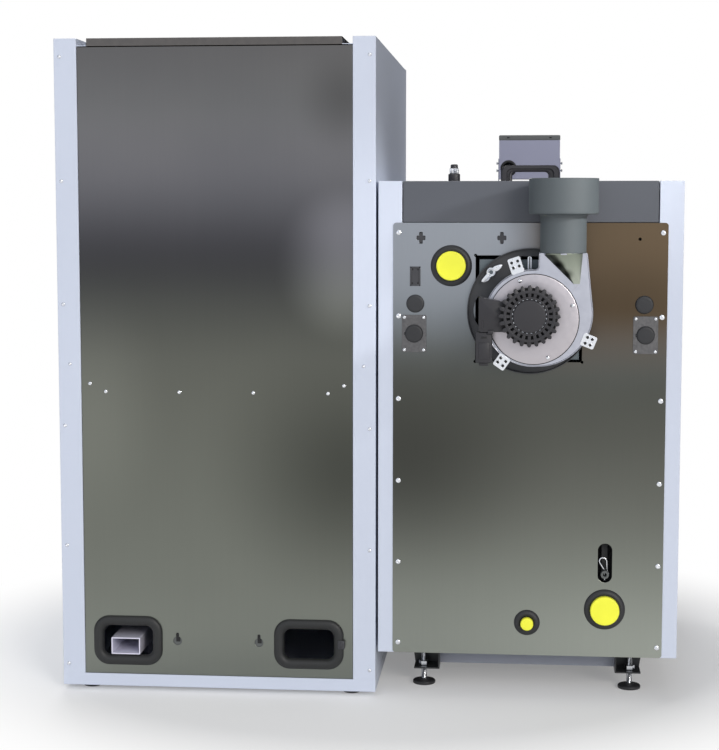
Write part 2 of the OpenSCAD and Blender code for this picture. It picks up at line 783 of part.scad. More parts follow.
module fan_volute() color(steel) placed() {
  difference() {
    union() {
      along_y(fan_front, fan_back) spiral(0);
      hull() {
        zcyl(flue_x, flue_y, flue_base - 3, flue_base, 43.5);
        box(flue_x + 20, flue_x + 32, fan_front, fan_back - 5, flue_base - 59, flue_base - 55);
      }
    }
    along_y(fan_front + 2, fan_back - 2) spiral(2);
    hull() {
      zcyl(flue_x, flue_y, flue_base - 4, flue_base + 1, 41.5);
      box(flue_x + 22, flue_x + 30, fan_front + 2, fan_back - 7, flue_base - 57, flue_base - 53);
    }
    ycyl(plate_x, plate_z, fan_front - 1, fan_front + 3, 83);
    ycyl(ring_x, ring_z, fan_back - 3, fan_back + 1, 60);
  }
  difference() {
    zcyl(flue_x, flue_y, flue_base - 2, flue_base + 18, 42.5);
    zcyl(flue_x, flue_y, flue_base - 3, flue_base + 19, 40.5);
  }
}

module fan_cover_plate() color(steel) placed() difference() {
  ycyl(plate_x, plate_z, fan_front - 3, fan_front, cover_plate_r);
  ycyl(fan_x, fan_z, fan_front - 4, fan_front + 1, 8);
}

// A four-hole lug, its plate reaching inwards by the given length
module lug(x, z, turn, inwards) translate([x, 0, z]) along_y(fan_front - 2, fan_front)
  rotate(turn) difference() {
    translate([-inwards, -12.5]) square([13.5 + inwards, 25]);
    for (u = [-5, 5], v = [-6, 6]) translate([u, v]) circle(r = 2.2);
  }

module fan_lugs() color("#d5d7dc") placed() {
  lug(272.4 + mid, 884.9 + up, 108.4, 18);
  lug(414 + mid, 738 + up, -21.9, 14);
  lug(247.6 + mid, 697.1 + up, -125.3, 13);
  box(ring_x - 5.5, ring_x + 2.5, -9, -7, ring_z + 78, ring_z + 108);
}

module fan_impeller() color(steel) placed() {
  ycyl(fan_x, fan_z, fan_front - 17, -52, 4);
  ycyl(fan_x, fan_z, -88, -56, 14);
  ycyl(fan_x, fan_z, -88, -86, impeller_r);
  for (k = [0:19]) translate([fan_x, 0, fan_z]) rotate([0, k * 18, 0])
    translate([impeller_r - 22, -87, -1]) cube([21, 37, 2]);
}

module fan_motor() color(black) placed() {
  difference() {
    ycyl(fan_x, fan_z, -132, fan_front - 3, 44);
    ycyl(fan_x, fan_z, fan_front - 18, fan_front - 2, 4 + running);
  }
  ycyl(fan_x, fan_z, -146, -132, 48);
  for (k = [0:23]) translate([fan_x, 0, fan_z]) rotate([0, k * 15, 0])
    translate([40, -145, -2.5]) cube([18, 12, 5]);
  ycyl(fan_x, fan_z, motor_tip, -146, 31);
}

module terminal_box() color(black) placed() {
  along_y(-130, fan_front - 3) polygon([[fan_x - 96.5, fan_z - 31], [fan_x - 46, fan_z - 31],
    [fan_x - 46, fan_z + 25], [fan_x - 96.5, fan_z + 36]]);
  box(fan_x - 102.5, fan_x - 71, -125, -100, fan_z - 91, fan_z - 31);
}

module flue_adaptor() color(dark) placed() difference() {
  union() {
    zcyl(flue_x, flue_y, flue_base, flue_step, 44.5);
    zcyl(flue_x, flue_y, flue_step - 2, flue_step + flue_socket_h, flue_r + 1.5);
  }
  zcyl(flue_x, flue_y, flue_base - 1, flue_step + 1, 43);
  zcyl(flue_x, flue_y, flue_step, flue_step + flue_socket_h + 1, flue_r);
}

module pipe(x, z, r, wall) difference() {
  ycyl(x, z, pipe_end, vy0, r);
  ycyl(x, z, pipe_end - 1, vy0 + 1, r - wall);
}

module water_pipes() color(dark) placed() {
  pipe(flow_x, flow_z, pipe_r, 3);
  pipe(return_x, return_z, pipe_r, 3);
  pipe(drain_x, drain_z, drain_r, 2);
}

module pipe_grommet(x, z, flange_r, hole_r, r) difference() {
  union() {
    ycyl(x, z, -5, -sheet, flange_r);
    ycyl(x, z, -sheet, 4, hole_r - seat);
  }
  ycyl(x, z, -6, 5, r + seat);
}

module pipe_grommets() color(black) placed() {
  pipe_grommet(flow_x, flow_z, 41, 34, pipe_r);
  pipe_grommet(return_x, return_z, 41, 34, pipe_r);
  pipe_grommet(drain_x, drain_z, 26, 20, drain_r);
}

module pipe_cap(x, z, outer, inner) difference() {
  ycyl(x, z, pipe_end - 3, -7, outer);
  ycyl(x, z, pipe_end, -6, inner + running);
}

module flow_cap() color(yellow) placed() pipe_cap(flow_x, flow_z, 29, pipe_r);
module return_cap() color(yellow) placed() pipe_cap(return_x, return_z, 29, pipe_r);
module drain_cap() color(yellow) placed() pipe_cap(drain_x, drain_z, 12.8, drain_r);

module cable_inlets() color(black) placed() {
  for (i = [0:3]) {
    p = disc_pts[i];
    face = i < 2 ? -sheet : -sheet * 2;
    ycyl(p[0], p[1] + up, face - 4, face, 18);
    ycyl(p[0], p[1] + up, face, 3, 14 - seat);
  }
  x0 = 63.6;
  z0 = 838.8 + up;
  difference() {
    box(x0, x0 + 20.6, -4.5, -sheet, z0, z0 + 38.3);
    box(x0 + 3, x0 + 17.6, -5, -3, z0 + 3, z0 + 35.3);
  }
  box(66.4, 81.6, -sheet, 16, 841.4 + up, 874.6 + up);
}

module gland_plates() color(steel) placed()
  for (i = [2, 3]) difference() {
    along_y(-sheet * 2, -sheet) around(disc_pts[i][0], disc_pts[i][1] + up, 49, 74.3, 3);
    ycyl(disc_pts[i][0], disc_pts[i][1] + up, -4, 0, 14);
  }

module air_vent() color(steel) placed() {
  difference() {
    zcyl(vent_x, vent_y, vz1, case_top + 3, 8);
    zcyl(vent_x, vent_y, vz1 - 1, case_top - 10, 5);
  }
  zcyl(vent_x, vent_y, case_top + 3, case_top + 16, 12);
  zcyl(vent_x, vent_y, case_top + 16, case_top + 27, 9);
  zcyl(vent_x, vent_y, case_top + 27, case_top + 35, 7.5);
}

module control_box() color("#8f91a8") placed() {
  x0 = control_x0;
  x1 = control_x1;
  difference() {
    box(x0, x1, control_y0, control_y1, control_low, control_high);
    box(x0 + sheet, x1 - sheet, control_y0 + sheet, control_y1 + 1, control_low + sheet,
      control_high - sheet);
    ycyl(x0 + 22.7, control_low + 25.3, control_y0 - 1, control_y0 + 3, 16.7);
  }
  for (x = [x0 - 1.6, x1]) box(x, x + 1.6, control_y0 + 4, control_y0 + 50, case_top, case_top + 61.8);
  box(x0 - 1.6, x1 + 1.6, control_y0 + 4, control_y0 + 50, case_top, case_top + 2);
}

module control_bezel() color(dark) placed() difference() {
  box(control_x0, control_x1, control_y1, control_y1 + 12, control_low, control_high);
  box(control_x0 + 13.4, switch_x - 23, control_y1 + 10, control_y1 + 13, control_low + 30,
    control_high - 12);
  box(switch_x - 11, switch_x + 11, control_y1 + 3, control_y1 + 13, switch_z - 14, switch_z + 14);
  xcyl(control_y1 + 8, switch_z, switch_x - 13, switch_x + 13, 1.5 + running);
}

module main_switch() color(black) placed() {
  y = control_y1;
  z = switch_z;
  xcyl(y + 8, z, switch_x - 12.5, switch_x + 12.5, 1.5);
  along_x(switch_x - 10, switch_x + 10) polygon([[y + 5, z - 6], [y + 5, z + 6], [y + 12, z + 11],
    [y + 15, z + 11], [y + 12.5, z], [y + 15, z - 11], [y + 12, z - 11]]);
}

module rear_head(x, z, face, r) ycyl(x, z, face - 2.5, face, r);

module casing_screws() color("#dfe1e4") placed() {
  for (k = [0:5]) {
    z = 55.2 + k * (hopper_h - 91) / 5;
    rear_head(hx0 + 12, z, 0, 4);
    rear_head(hx1 - 12, z, 0, 4);
    pz = frame_top + 21 + k * (case_h - 122.5) / 5;
    rear_head(41, pz, -sheet, 5.5);
    rear_head(boiler_w - 40, pz, -sheet, 5.5);
  }
  for (s = [-1, 1]) {
    rear_head(hxc + s * (hopper_w / 2 - 24.2), 677, 0, 3.5);
    for (k = [0.5, 1.5]) rear_head(hxc + s * k * row_pitch, 621, 3, 4);
    rear_head(hxc + s * ((hsx1 - hsx0) / 2 - 18), 637, 3, 4);
  }
  for (i = [2, 3], u = [-19.3, 19.3], v = [-32.4, 32.4])
    rear_head(disc_pts[i][0] + u, disc_pts[i][1] + up + v, -sheet * 2, 2.5);
  for (a = [110, 20, -69])
    rear_head(plate_x + 79 * cos(a), plate_z + 79 * sin(a), fan_front - 3, 4);
  for (x = foot_x, y = foot_y) difference() {
    translate([x, y, 39]) cylinder(h = 10, r = 10.9, $fn = 6);
    zcyl(x, y, 38, 50, spindle_r + running);
  }
}

hopper_base();
hopper_glides();
hopper_left_panel();
hopper_right_panel();
hopper_rear_panel();
hopper_front_panel();
hopper_top_panel();
hopper_lid();
hinges();
hopper_bin();
auger_tube();
feed_auger();
auger_motor();
port_grommets();
cable_duct();
base_frame();
foot_rear_left();
foot_rear_right();
foot_front_left();
foot_front_right();
boiler_left_panel();
boiler_right_panel();
boiler_rear_panel();
boiler_front_panel();
boiler_top_front();
boiler_top_cover();
top_handle();
fire_door();
fire_chamber();
door_handle();
ash_drawer();
boiler_vessel();
smoke_box_lid();
insulation_mats();
burner_pot();
smoke_tubes();
turbulators();
r_clip();
flue_box();
fan_flange();
wing_nut();
fan_volute();
fan_cover_plate();
fan_lugs();
fan_impeller();
fan_motor();
terminal_box();
flue_adaptor();
water_pipes();
pipe_grommets();
flow_cap();
return_cap();
drain_cap();
cable_inlets();
gland_plates();
air_vent();
control_box();
control_bezel();
main_switch();
casing_screws();
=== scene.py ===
# Pellet boiler with a tall hopper beside it, seen from the rear where the flue fan sits
import bpy
import bmesh
import json
import math
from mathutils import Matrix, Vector


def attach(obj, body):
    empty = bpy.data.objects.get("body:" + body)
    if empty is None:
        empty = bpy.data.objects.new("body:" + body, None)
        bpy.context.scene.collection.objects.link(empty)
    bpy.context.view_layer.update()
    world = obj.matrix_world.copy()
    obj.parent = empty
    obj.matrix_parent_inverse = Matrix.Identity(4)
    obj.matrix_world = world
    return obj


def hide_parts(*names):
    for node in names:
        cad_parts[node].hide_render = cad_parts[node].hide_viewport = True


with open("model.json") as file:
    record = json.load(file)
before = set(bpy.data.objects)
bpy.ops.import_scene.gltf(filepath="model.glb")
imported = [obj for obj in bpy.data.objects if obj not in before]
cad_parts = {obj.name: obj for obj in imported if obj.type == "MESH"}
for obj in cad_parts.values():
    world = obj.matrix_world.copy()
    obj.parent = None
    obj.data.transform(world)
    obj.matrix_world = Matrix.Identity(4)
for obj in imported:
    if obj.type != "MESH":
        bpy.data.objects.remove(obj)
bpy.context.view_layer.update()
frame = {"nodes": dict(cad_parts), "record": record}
record = frame["record"]
bodyOf = {node: body for body, nodes in record["behaviour"]["bodies"].items() for node in nodes}
print("frame loaded:", len(frame["nodes"]), "nodes")


# Where the frame's origin lies in the drawing, whose zero is the boiler's left rear corner on the floor
frameZero = (-26.5, 397.5)


# Drawing millimetres to the frame's metres
def spot(x, y, z):
    return Vector(((x - frameZero[0]) / 1000, (y - frameZero[1]) / 1000, z / 1000))


# The frame's metres back to drawing millimetres
def drawingSpot(point):
    return Vector((point.x * 1000 + frameZero[0], point.y * 1000 + frameZero[1], point.z * 1000))


def linearColour(hexText, strength=1.0):
    channels = []
    for start in (1, 3, 5):
        value = int(hexText[start:start + 2], 16) / 255
        channels.append(strength * (value / 12.92 if value <= 0.04045 else ((value + 0.055) / 1.055) ** 2.4))
    return (*channels, 1.0)


# Adds one node with its settings, input values and links, each from a socket or from a node's first output
def addNode(tree, kind, settings=None, values=None, links=None):
    node = tree.nodes.new(kind)
    for name, value in (settings or {}).items():
        setattr(node, name, value)
    for name, value in (values or {}).items():
        node.inputs[name].default_value = value
    for name, source in (links or {}).items():
        socket = source.outputs[0] if isinstance(source, bpy.types.Node) else source
        tree.links.new(socket, node.inputs[name])
    return node


# An empty material, with its node tree and the object's own coordinates
def newMaterial(name):
    material = bpy.data.materials.new(name)
    material.use_nodes = True
    material.node_tree.nodes.clear()
    place = addNode(material.node_tree, "ShaderNodeTexCoord")
    return material, material.node_tree, place.outputs["Object"]


# Gives a colour ramp its stops, each a place and a colour
def setStops(ramp, stops):
    while len(ramp.elements) < len(stops):
        ramp.elements.new(0.5)
    for element, (place, colour) in zip(ramp.elements, stops):
        element.position = place
        element.color = linearColour(colour)


# Camera and studio

cameraLook = {"place": (285.7, -3477.4, 1000.1), "turnLeft": 5.31, "tiltDown": 5.57, "focal": 84.01}

cameraData = bpy.data.cameras.new("photoCamera")
cameraData.sensor_fit = "VERTICAL"
cameraData.sensor_height = 36
cameraData.lens = cameraLook["focal"]
cameraData.clip_end = 100
photoCamera = bpy.data.objects.new("photoCamera", cameraData)
photoCamera.location = spot(*cameraLook["place"])
photoCamera.rotation_euler = (math.radians(90 - cameraLook["tiltDown"]), 0, math.radians(cameraLook["turnLeft"]))
bpy.context.collection.objects.link(photoCamera)
bpy.context.scene.camera = photoCamera
bpy.context.scene.view_settings.view_transform = "Standard"

studioLook = {"floorColour": "#f9f9f9", "floorGlow": 0.24, "floorReach": 30, "whiteFrom": 0.6, "whiteTo": 1.15,
              "whiteCentre": 0.1, "frontLight": 1.62, "sideLight": 0.04,
              "roomTones": [(0.0, "#8c929c"), (0.12, "#9da3ac"), (0.5, "#d5dae2"), (1.0, "#eef1f6")]}


# Pale floor that fades to pure white round the object
def studioFloor():
    material, tree, place = newMaterial("paleStudioFloor")
    away = addNode(tree, "ShaderNodeVectorMath", {"operation": "DISTANCE"}, {1: (0, studioLook["whiteCentre"], 0)},
                   {0: place})
    fade = addNode(tree, "ShaderNodeMapRange", {"interpolation_type": "SMOOTHSTEP"},
                   {"From Min": studioLook["whiteFrom"], "From Max": studioLook["whiteTo"]},
                   {"Value": away.outputs["Value"]})
    coat = addNode(tree, "ShaderNodeBsdfDiffuse", values={"Color": linearColour(studioLook["floorColour"])})
    glow = addNode(tree, "ShaderNodeEmission", values={"Color": (1, 1, 1, 1)})
    path = addNode(tree, "ShaderNodeLightPath")
    seen = addNode(tree, "ShaderNodeMath", {"operation": "ADD", "use_clamp": True},
                   links={0: path.outputs["Is Camera Ray"], 1: path.outputs["Is Glossy Ray"]})
    least = addNode(tree, "ShaderNodeMath", {"operation": "MAXIMUM"}, {1: studioLook["floorGlow"]}, {0: fade})
    amount = addNode(tree, "ShaderNodeMath", {"operation": "MULTIPLY"}, links={0: least, 1: seen})
    mix = addNode(tree, "ShaderNodeMixShader", links={0: amount, 1: coat, 2: glow})
    addNode(tree, "ShaderNodeOutputMaterial", links={"Surface": mix})
    mesh = bpy.data.meshes.new("studioFloor")
    reach = studioLook["floorReach"]
    mesh.from_pydata([(-reach, -reach, 0), (reach, -reach, 0), (reach, reach, 0), (-reach, reach, 0)], [],
                     [(0, 1, 2, 3)])
    mesh.materials.append(material)
    floor = bpy.data.objects.new("studioFloor", mesh)
    bpy.context.collection.objects.link(floor)


# Pale room, brighter behind the camera, that the camera itself sees as pure white
def studioWorld():
    world = bpy.data.worlds.new("studioRoom")
    world.use_nodes = True
    tree = world.node_tree
    tree.nodes.clear()
    place = addNode(tree, "ShaderNodeTexCoord")
    split = addNode(tree, "ShaderNodeSeparateXYZ", links={0: place.outputs["Generated"]})
    rise = addNode(tree, "ShaderNodeMapRange", values={"From Min": -0.1, "From Max": 0.75},
                   links={"Value": split.outputs["Z"]})
    room = addNode(tree, "ShaderNodeValToRGB", links={"Fac": rise})
    setStops(room.color_ramp, studioLook["roomTones"])
    facing = addNode(tree, "ShaderNodeMapRange",
                     values={"From Min": -1.0, "From Max": -0.15, "To Min": studioLook["frontLight"],
                             "To Max": studioLook["sideLight"]}, links={"Value": split.outputs["Y"]})
    lit = addNode(tree, "ShaderNodeVectorMath", {"operation": "SCALE"}, links={0: room, "Scale": facing})
    path = addNode(tree, "ShaderNodeLightPath")
    seen = addNode(tree, "ShaderNodeMath", {"operation": "ADD", "use_clamp": True},
                   links={0: path.outputs["Is Camera Ray"], 1: path.outputs["Is Transmission Ray"]})
    mix = addNode(tree, "ShaderNodeMix", {"data_type": "RGBA"}, {"B": (1, 1, 1, 1)}, {"Factor": seen, "A": lit})
    glow = addNode(tree, "ShaderNodeBackground", links={"Color": mix.outputs["Result"]})
    addNode(tree, "ShaderNodeOutputWorld", links={"Surface": glow})
    bpy.context.scene.world = world


def addLamp(name, kind, place, target, settings):
    data = bpy.data.lights.new(name, kind)
    for label, value in settings.items():
        setattr(data, label, value)
    lamp = bpy.data.objects.new(name, data)
    lamp.location = spot(*place)
    lamp.rotation_euler = (spot(*target) - lamp.location).to_track_quat("-Z", "Y").to_euler()
    bpy.context.collection.objects.link(lamp)


# Square soft lamps: place, target, side in metres, power and colour
softLamps = {
    "overheadSoftbox": ((-500, 200, 4200), (-200, 400, 0), 3.2, 39, "#ffffff"),
    "rightSoftbox": ((4200, -6900, 3300), (200, 0, 850), 2.6, 270, "#fff9f2"),
    "leftFill": ((-3300, -3300, 1900), (-300, 0, 700), 2.4, 16, "#eef2ff"),
    "frontFill": ((-1500, 5200, 2900), (-26, 800, 600), 2.4, 140, "#ffffff")}

studioFloor()
studioWorld()
for name, (place, target, side, power, colour) in softLamps.items():
    addLamp(name, "AREA", place, target, {"size": side, "energy": power, "color": linearColour(colour)[:3]})

# A narrow lamp from the right gives the flue adaptor's soft shadow on the cover
addLamp("flueLamp", "SPOT", (1609, -694, 1560), (320, -60, 985),
        {"energy": 64, "spot_size": math.radians(20), "spot_blend": 0.8, "shadow_soft_size": 0.09})
print("studio ready")


# Materials, each named for the real one

bumpDepth = 0.0002  # metres, for every fine grain


# A coat or moulding: a wide drift of tone, and a fine grain that shows in the bump and in the gloss
def grainedFinish(name, colour, look):
    material, tree, place = newMaterial(name)
    drift = addNode(tree, "ShaderNodeTexNoise", values={"Scale": look["driftScale"], "Detail": look["detail"]},
                    links={"Vector": place})
    tint = addNode(tree, "ShaderNodeMix", {"data_type": "RGBA"},
                   {"A": linearColour(colour, look["darkest"]), "B": linearColour(colour, look["lightest"])},
                   {"Factor": drift})
    grain = addNode(tree, "ShaderNodeTexNoise", values={"Scale": look["grainScale"], "Detail": look["detail"]},
                    links={"Vector": place})
    gloss = addNode(tree, "ShaderNodeMapRange", values={"To Min": look["smoothest"], "To Max": look["roughest"]},
                    links={"Value": grain})
    bump = addNode(tree, "ShaderNodeBump", values={"Strength": look["bump"], "Distance": bumpDepth},
                   links={"Height": grain})
    shader = addNode(tree, "ShaderNodeBsdfPrincipled", values={"IOR": look["ior"], "Sheen Weight": look["sheen"]},
                     links={"Base Color": tint.outputs["Result"], "Roughness": gloss, "Normal": bump})
    addNode(tree, "ShaderNodeOutputMaterial", links={"Surface": shader})
    return material


# Powder coat: sprayed polyester baked on, an even colour with a fine orange peel.
# The real peel is about 1 mm wide and is drawn at 3 mm so that it shows.
def powderCoat(name, colour, roughness, peel=0.12):
    return grainedFinish(name, colour, {
        "driftScale": 2.2, "darkest": 0.965, "lightest": 1.035, "detail": 2.0, "grainScale": 330.0, "bump": peel,
        "smoothest": roughness - 0.04, "roughest": roughness + 0.06, "ior": 1.5, "sheen": 0.0})


# Moulded plastic or rubber: a spark-eroded mould leaves a fine even grain, drawn at 2 mm so that it shows
def mouldedGrain(name, colour, roughness, grainMm=2.0, depth=0.25, sheen=0.0):
    return grainedFinish(name, colour, {
        "driftScale": 14.0, "darkest": 0.88, "lightest": 1.1, "detail": 3.0, "grainScale": 1000 / grainMm,
        "bump": depth, "smoothest": roughness - 0.08, "roughest": roughness + 0.08, "ior": 1.48,
        "sheen": sheen})


# Real rolling lines are under a millimetre wide. They are drawn 4 mm wide and 200 mm long so that they show,
# and the patches of dull and bright zinc are about 300 mm wide.
zincGrain = {"lineScale": (260, 260, 5), "patchScale": 3.5, "detail": 3.0, "noiseLow": 0.3, "noiseHigh": 0.7,
             "smoothest": 0.28, "roughest": 0.36, "darkest": 0.992, "lightest": 1.008, "bump": 0.006}


# Cold-rolled zinc sheet: metal with faint upright rolling lines, and painted reflection and shade in its tone.
# The tone down the sheet is painted reflection and shade over its height in metres, and each painted light patch is a
# soft patch at x, z with its half width and half height in metres and its tone beside the sheet's own.
def zincSheet(name, look):
    material, tree, place = newMaterial(name)
    split = addNode(tree, "ShaderNodeSeparateXYZ", links={0: place})
    height = addNode(tree, "ShaderNodeMapRange", values={"From Min": look["low"], "From Max": look["high"]},
                     links={"Value": split.outputs["Z"]})
    # The ramp over the sheet's height is painted reflection and shade
    paintedLightRamp = addNode(tree, "ShaderNodeValToRGB", links={"Fac": height})
    setStops(paintedLightRamp.color_ramp, look["tones"])
    paintedLightRamp.color_ramp.interpolation = "B_SPLINE"
    colour = paintedLightRamp
    # A warm patch, where one is given, is a painted brown reflection on the sheet
    warm = look.get("warm")
    if warm:
        side = addNode(tree, "ShaderNodeMapRange", {"interpolation_type": "SMOOTHSTEP"},
                       {"From Min": warm["from"], "From Max": warm["to"]}, {"Value": split.outputs["X"]})
        high = addNode(tree, "ShaderNodeMapRange", {"interpolation_type": "SMOOTHSTEP"},
                       {"From Min": warm["low"], "From Max": warm["high"]}, {"Value": split.outputs["Z"]})
        both = addNode(tree, "ShaderNodeMath", {"operation": "MULTIPLY"}, links={0: side, 1: high})
        colour = addNode(tree, "ShaderNodeMix", {"data_type": "RGBA"}, {"B": linearColour(warm["colour"])},
                         {"Factor": both, "A": colour}).outputs["Result"]
    stretch = addNode(tree, "ShaderNodeMapping", values={"Scale": zincGrain["lineScale"]}, links={"Vector": place})
    lines = addNode(tree, "ShaderNodeTexNoise", values={"Scale": 1.0, "Detail": zincGrain["detail"]},
                    links={"Vector": stretch})
    patches = addNode(tree, "ShaderNodeTexNoise",
                      values={"Scale": zincGrain["patchScale"], "Detail": zincGrain["detail"]},
                      links={"Vector": place})
    noiseRange = {"From Min": zincGrain["noiseLow"], "From Max": zincGrain["noiseHigh"]}
    gloss = addNode(tree, "ShaderNodeMapRange",
                    values={**noiseRange, "To Min": zincGrain["smoothest"], "To Max": zincGrain["roughest"]},
                    links={"Value": patches})
    tone = addNode(tree, "ShaderNodeMapRange",
                   values={**noiseRange, "To Min": zincGrain["darkest"], "To Max": zincGrain["lightest"]},
                   links={"Value": lines})
    # Each patch darkens or lightens the tone as painted shade or painted highlight
    for x, z, wide, high, amount in look["paintedLightPatches"].values():
        centred = addNode(tree, "ShaderNodeMapping",
                          values={"Location": (-x / wide, 0, -z / high), "Scale": (1 / wide, 0, 1 / high)},
                          links={"Vector": place})
        away = addNode(tree, "ShaderNodeVectorMath", {"operation": "LENGTH"}, links={0: centred})
        paintedLightPatch = addNode(tree, "ShaderNodeMapRange", {"interpolation_type": "SMOOTHSTEP"},
                        {"To Min": amount, "To Max": 1.0}, {"Value": away.outputs["Value"]})
        tone = addNode(tree, "ShaderNodeMath", {"operation": "MULTIPLY"}, links={0: tone, 1: paintedLightPatch})
    worn = addNode(tree, "ShaderNodeVectorMath", {"operation": "SCALE"}, links={0: colour, "Scale": tone})
    bump = addNode(tree, "ShaderNodeBump", values={"Strength": zincGrain["bump"], "Distance": bumpDepth},
                   links={"Height": lines})
    shader = addNode(tree, "ShaderNodeBsdfPrincipled", values={"Metallic": 1.0},
                     links={"Base Color": worn, "Roughness": gloss, "Normal": bump})
    addNode(tree, "ShaderNodeOutputMaterial", links={"Surface": shader})
    return material


# Plated or pressed bright metal with small handling marks
def brightMetal(name, colour, roughness, grainMm=6.0, mark=0.06, fade=0.08):
    material, tree, place = newMaterial(name)
    grain = addNode(tree, "ShaderNodeTexNoise", values={"Scale": 1000 / grainMm, "Detail": 4.0},
                    links={"Vector": place})
    gloss = addNode(tree, "ShaderNodeMapRange",
                    values={"From Min": 0.25, "From Max": 0.75, "To Min": roughness - mark, "To Max": roughness + mark},
                    links={"Value": grain})
    tint = addNode(tree, "ShaderNodeMix", {"data_type": "RGBA"},
                   {"A": linearColour(colour, 1 - fade), "B": linearColour(colour)}, {"Factor": grain})
    shader = addNode(tree, "ShaderNodeBsdfPrincipled", values={"Metallic": 1.0},
                     links={"Base Color": tint.outputs["Result"], "Roughness": gloss})
    addNode(tree, "ShaderNodeOutputMaterial", links={"Surface": shader})
    return material


whiteCoat = powderCoat("whitePowderCoat", "#d0d7e6", 0.42)
darkCoat = powderCoat("darkGreyPowderCoat", "#51545b", 0.38)
flueCoat = powderCoat("heatProofGreyPaint", "#555c5f", 0.55, 0.2)
blackCoat = powderCoat("blackFramePaint", "#2e2f31", 0.3)
ringCoat = powderCoat("darkFlangePaint", "#3c3d40", 0.4)
lavenderCoat = powderCoat("greyControlCoat", "#9a9cb2", 0.4)
lidCoat = powderCoat("greyLidCoat", "#5c5e5e", 0.4)
vesselCoat = powderCoat("boilerPlatePaint", "#3d3d40", 0.6, 0.3)
# The hopper's zinc: painted reflection of pale floor low down, a dark horizon band above the middle, a paler top, and
# patches of painted highlight and shade
hopperSheet = {
    "low": 0.036, "high": 1.33,
    "tones": [(0.0, "#838780"), (0.15, "#777a72"), (0.35, "#6e7068"), (0.5, "#696a62"), (0.6, "#4e4f4c"),
              (0.68, "#3e3d41"), (0.76, "#6d6c6f"), (0.83, "#797778"), (0.9, "#787775"), (1.0, "#6a6765")],
    "paintedLightPatches": {"darkRight": (-0.03, 0.46, 0.34, 0.32, 0.45), "paleRight": (-0.04, 0.88, 0.15, 0.17, 3.0),
               "darkTopRight": (-0.04, 1.206, 0.12, 0.12, 0.66), "paleLeft": (-0.56, 0.6, 0.17, 0.3, 1.3)}}
# The boiler's zinc: painted reflection of pale floor low down, a darker middle, a paler top, patches of painted shade,
# and a painted brown reflection beside the flue
boilerSheet = {
    "low": 0.095, "high": 0.964,
    "tones": [(0.0, "#9fa39b"), (0.15, "#878b83"), (0.3, "#6e7069"), (0.45, "#5e5f59"), (0.58, "#54554f"),
              (0.7, "#565854"), (0.8, "#8a8f94"), (0.9, "#989ca2"), (1.0, "#9b9fa5")],
    "paintedLightPatches": {"darkLeft": (0.08, 0.47, 0.36, 0.26, 0.54), "lowLeft": (0.06, 0.15, 0.45, 0.35, 0.84),
               "belowWarm": (0.52, 0.80, 0.3, 0.15, 0.66)},
    "warm": {"from": 0.26, "to": 0.42, "low": 0.64, "high": 0.80, "colour": "#685947"}}
hopperZinc = zincSheet("hopperZincSheet", hopperSheet)
boilerZinc = zincSheet("boilerZincSheet", boilerSheet)
plainZinc = brightMetal("plainZincSheet", "#9a9c9c", 0.34, 14.0)
glandSheet = brightMetal("dullGlandPlate", "#777677", 0.42, 5.0, 0.1, 0.55)
brightSteel = brightMetal("brightZincPlatedSteel", "#c6c8cc", 0.28)
pressedSteel = brightMetal("pressedBrightSheet", "#bcbec8", 0.36, 9.0)
plateSteel = brightMetal("turnedCoverPlate", "#beb9bd", 0.36, 9.0)
blackPlastic = mouldedGrain("blackPolyamide", "#3b3b3f", 0.42)
handlePlastic = mouldedGrain("blackHandlePlastic", "#2c2b2f", 0.4)
footPlastic = mouldedGrain("blackFootPlastic", "#2b2b2d", 0.45)
rubber = mouldedGrain("blackMouldedRubber", "#252629", 0.5, 2.5, 0.3, 0.05)
yellowPlastic = mouldedGrain("yellowPolyethylene", "#ffff44", 0.38, 2.0, 0.08)
potIron = mouldedGrain("castBurnerIron", "#3d3a37", 0.7, 3.0, 0.8)
railCoat = powderCoat("greyRailPaint", "#a0a4b0", 0.4)
ductSheet = powderCoat("paleDuctCoat", "#dcdbea", 0.3)
innerSheet = brightMetal("zincInnerPlate", "#6c7478", 0.4, 12.0)
trayZinc = brightMetal("darkZincTray", "#6a6663", 0.36, 12.0)
screwSteel = brightMetal("brightScrewSteel", "#e6e8ec", 0.24, 3.0, 0.05)
portRubber = mouldedGrain("greyPortRubber", "#222323", 0.5, 2.5, 0.3, 0.05)
motorPlastic = mouldedGrain("greyMotorPlastic", "#28272b", 0.45)
sootSteel = mouldedGrain("sootedSteel", "#1c1d1e", 0.6, 3.0, 0.3)
wipedSteel = mouldedGrain("wipedGreySteel", "#5c5f5e", 0.45, 3.0, 0.2)
# White zinc for the lugs and wing nut; the motor's bright ring also uses it as a painted glint
lugSteelAndPaintedGlint = brightMetal("whiteZincLugAndPaintedGlint", "#eceef2", 0.3, 3.0, 0.05)
# The fan housing's curved neck: a tone darkening upwards and three dark bands, all painted shade and highlight of its
# curved face
neckSheet = zincSheet("shadedNeckSheet", {
    "low": 0.84, "high": 0.91, "tones": [(0.0, "#b4b9ae"), (0.5, "#9da396"), (1.0, "#7d8478")],
    "paintedLightPatches": {"bandTop": (0.352, 0.9, 0.022, 0.012, 0.12), "bandMiddle": (0.378, 0.884, 0.02, 0.013, 0.1),
               "bandLow": (0.398, 0.866, 0.016, 0.014, 0.2)}})
# Near-black fill: painted shade in holes, slots, gaps and behind the motor's teeth, and also small real black parts
# such as the control box's ring and studs
blackAndPaintedShade = mouldedGrain("shadowedSlotPlastic", "#141415", 0.6)
bezelPlastic = mouldedGrain("greyBezelPlastic", "#4a4c52", 0.42)
displayGlass = mouldedGrain("tintedDisplayAcrylic", "#101418", 0.14, 2.0, 0.02)
greyKeys = mouldedGrain("softGreyKeys", "#9a9da4", 0.5)
mineralWool = mouldedGrain("pressedMineralWool", "#b9b08e", 0.9, 5.0, 1.0, 0.4)


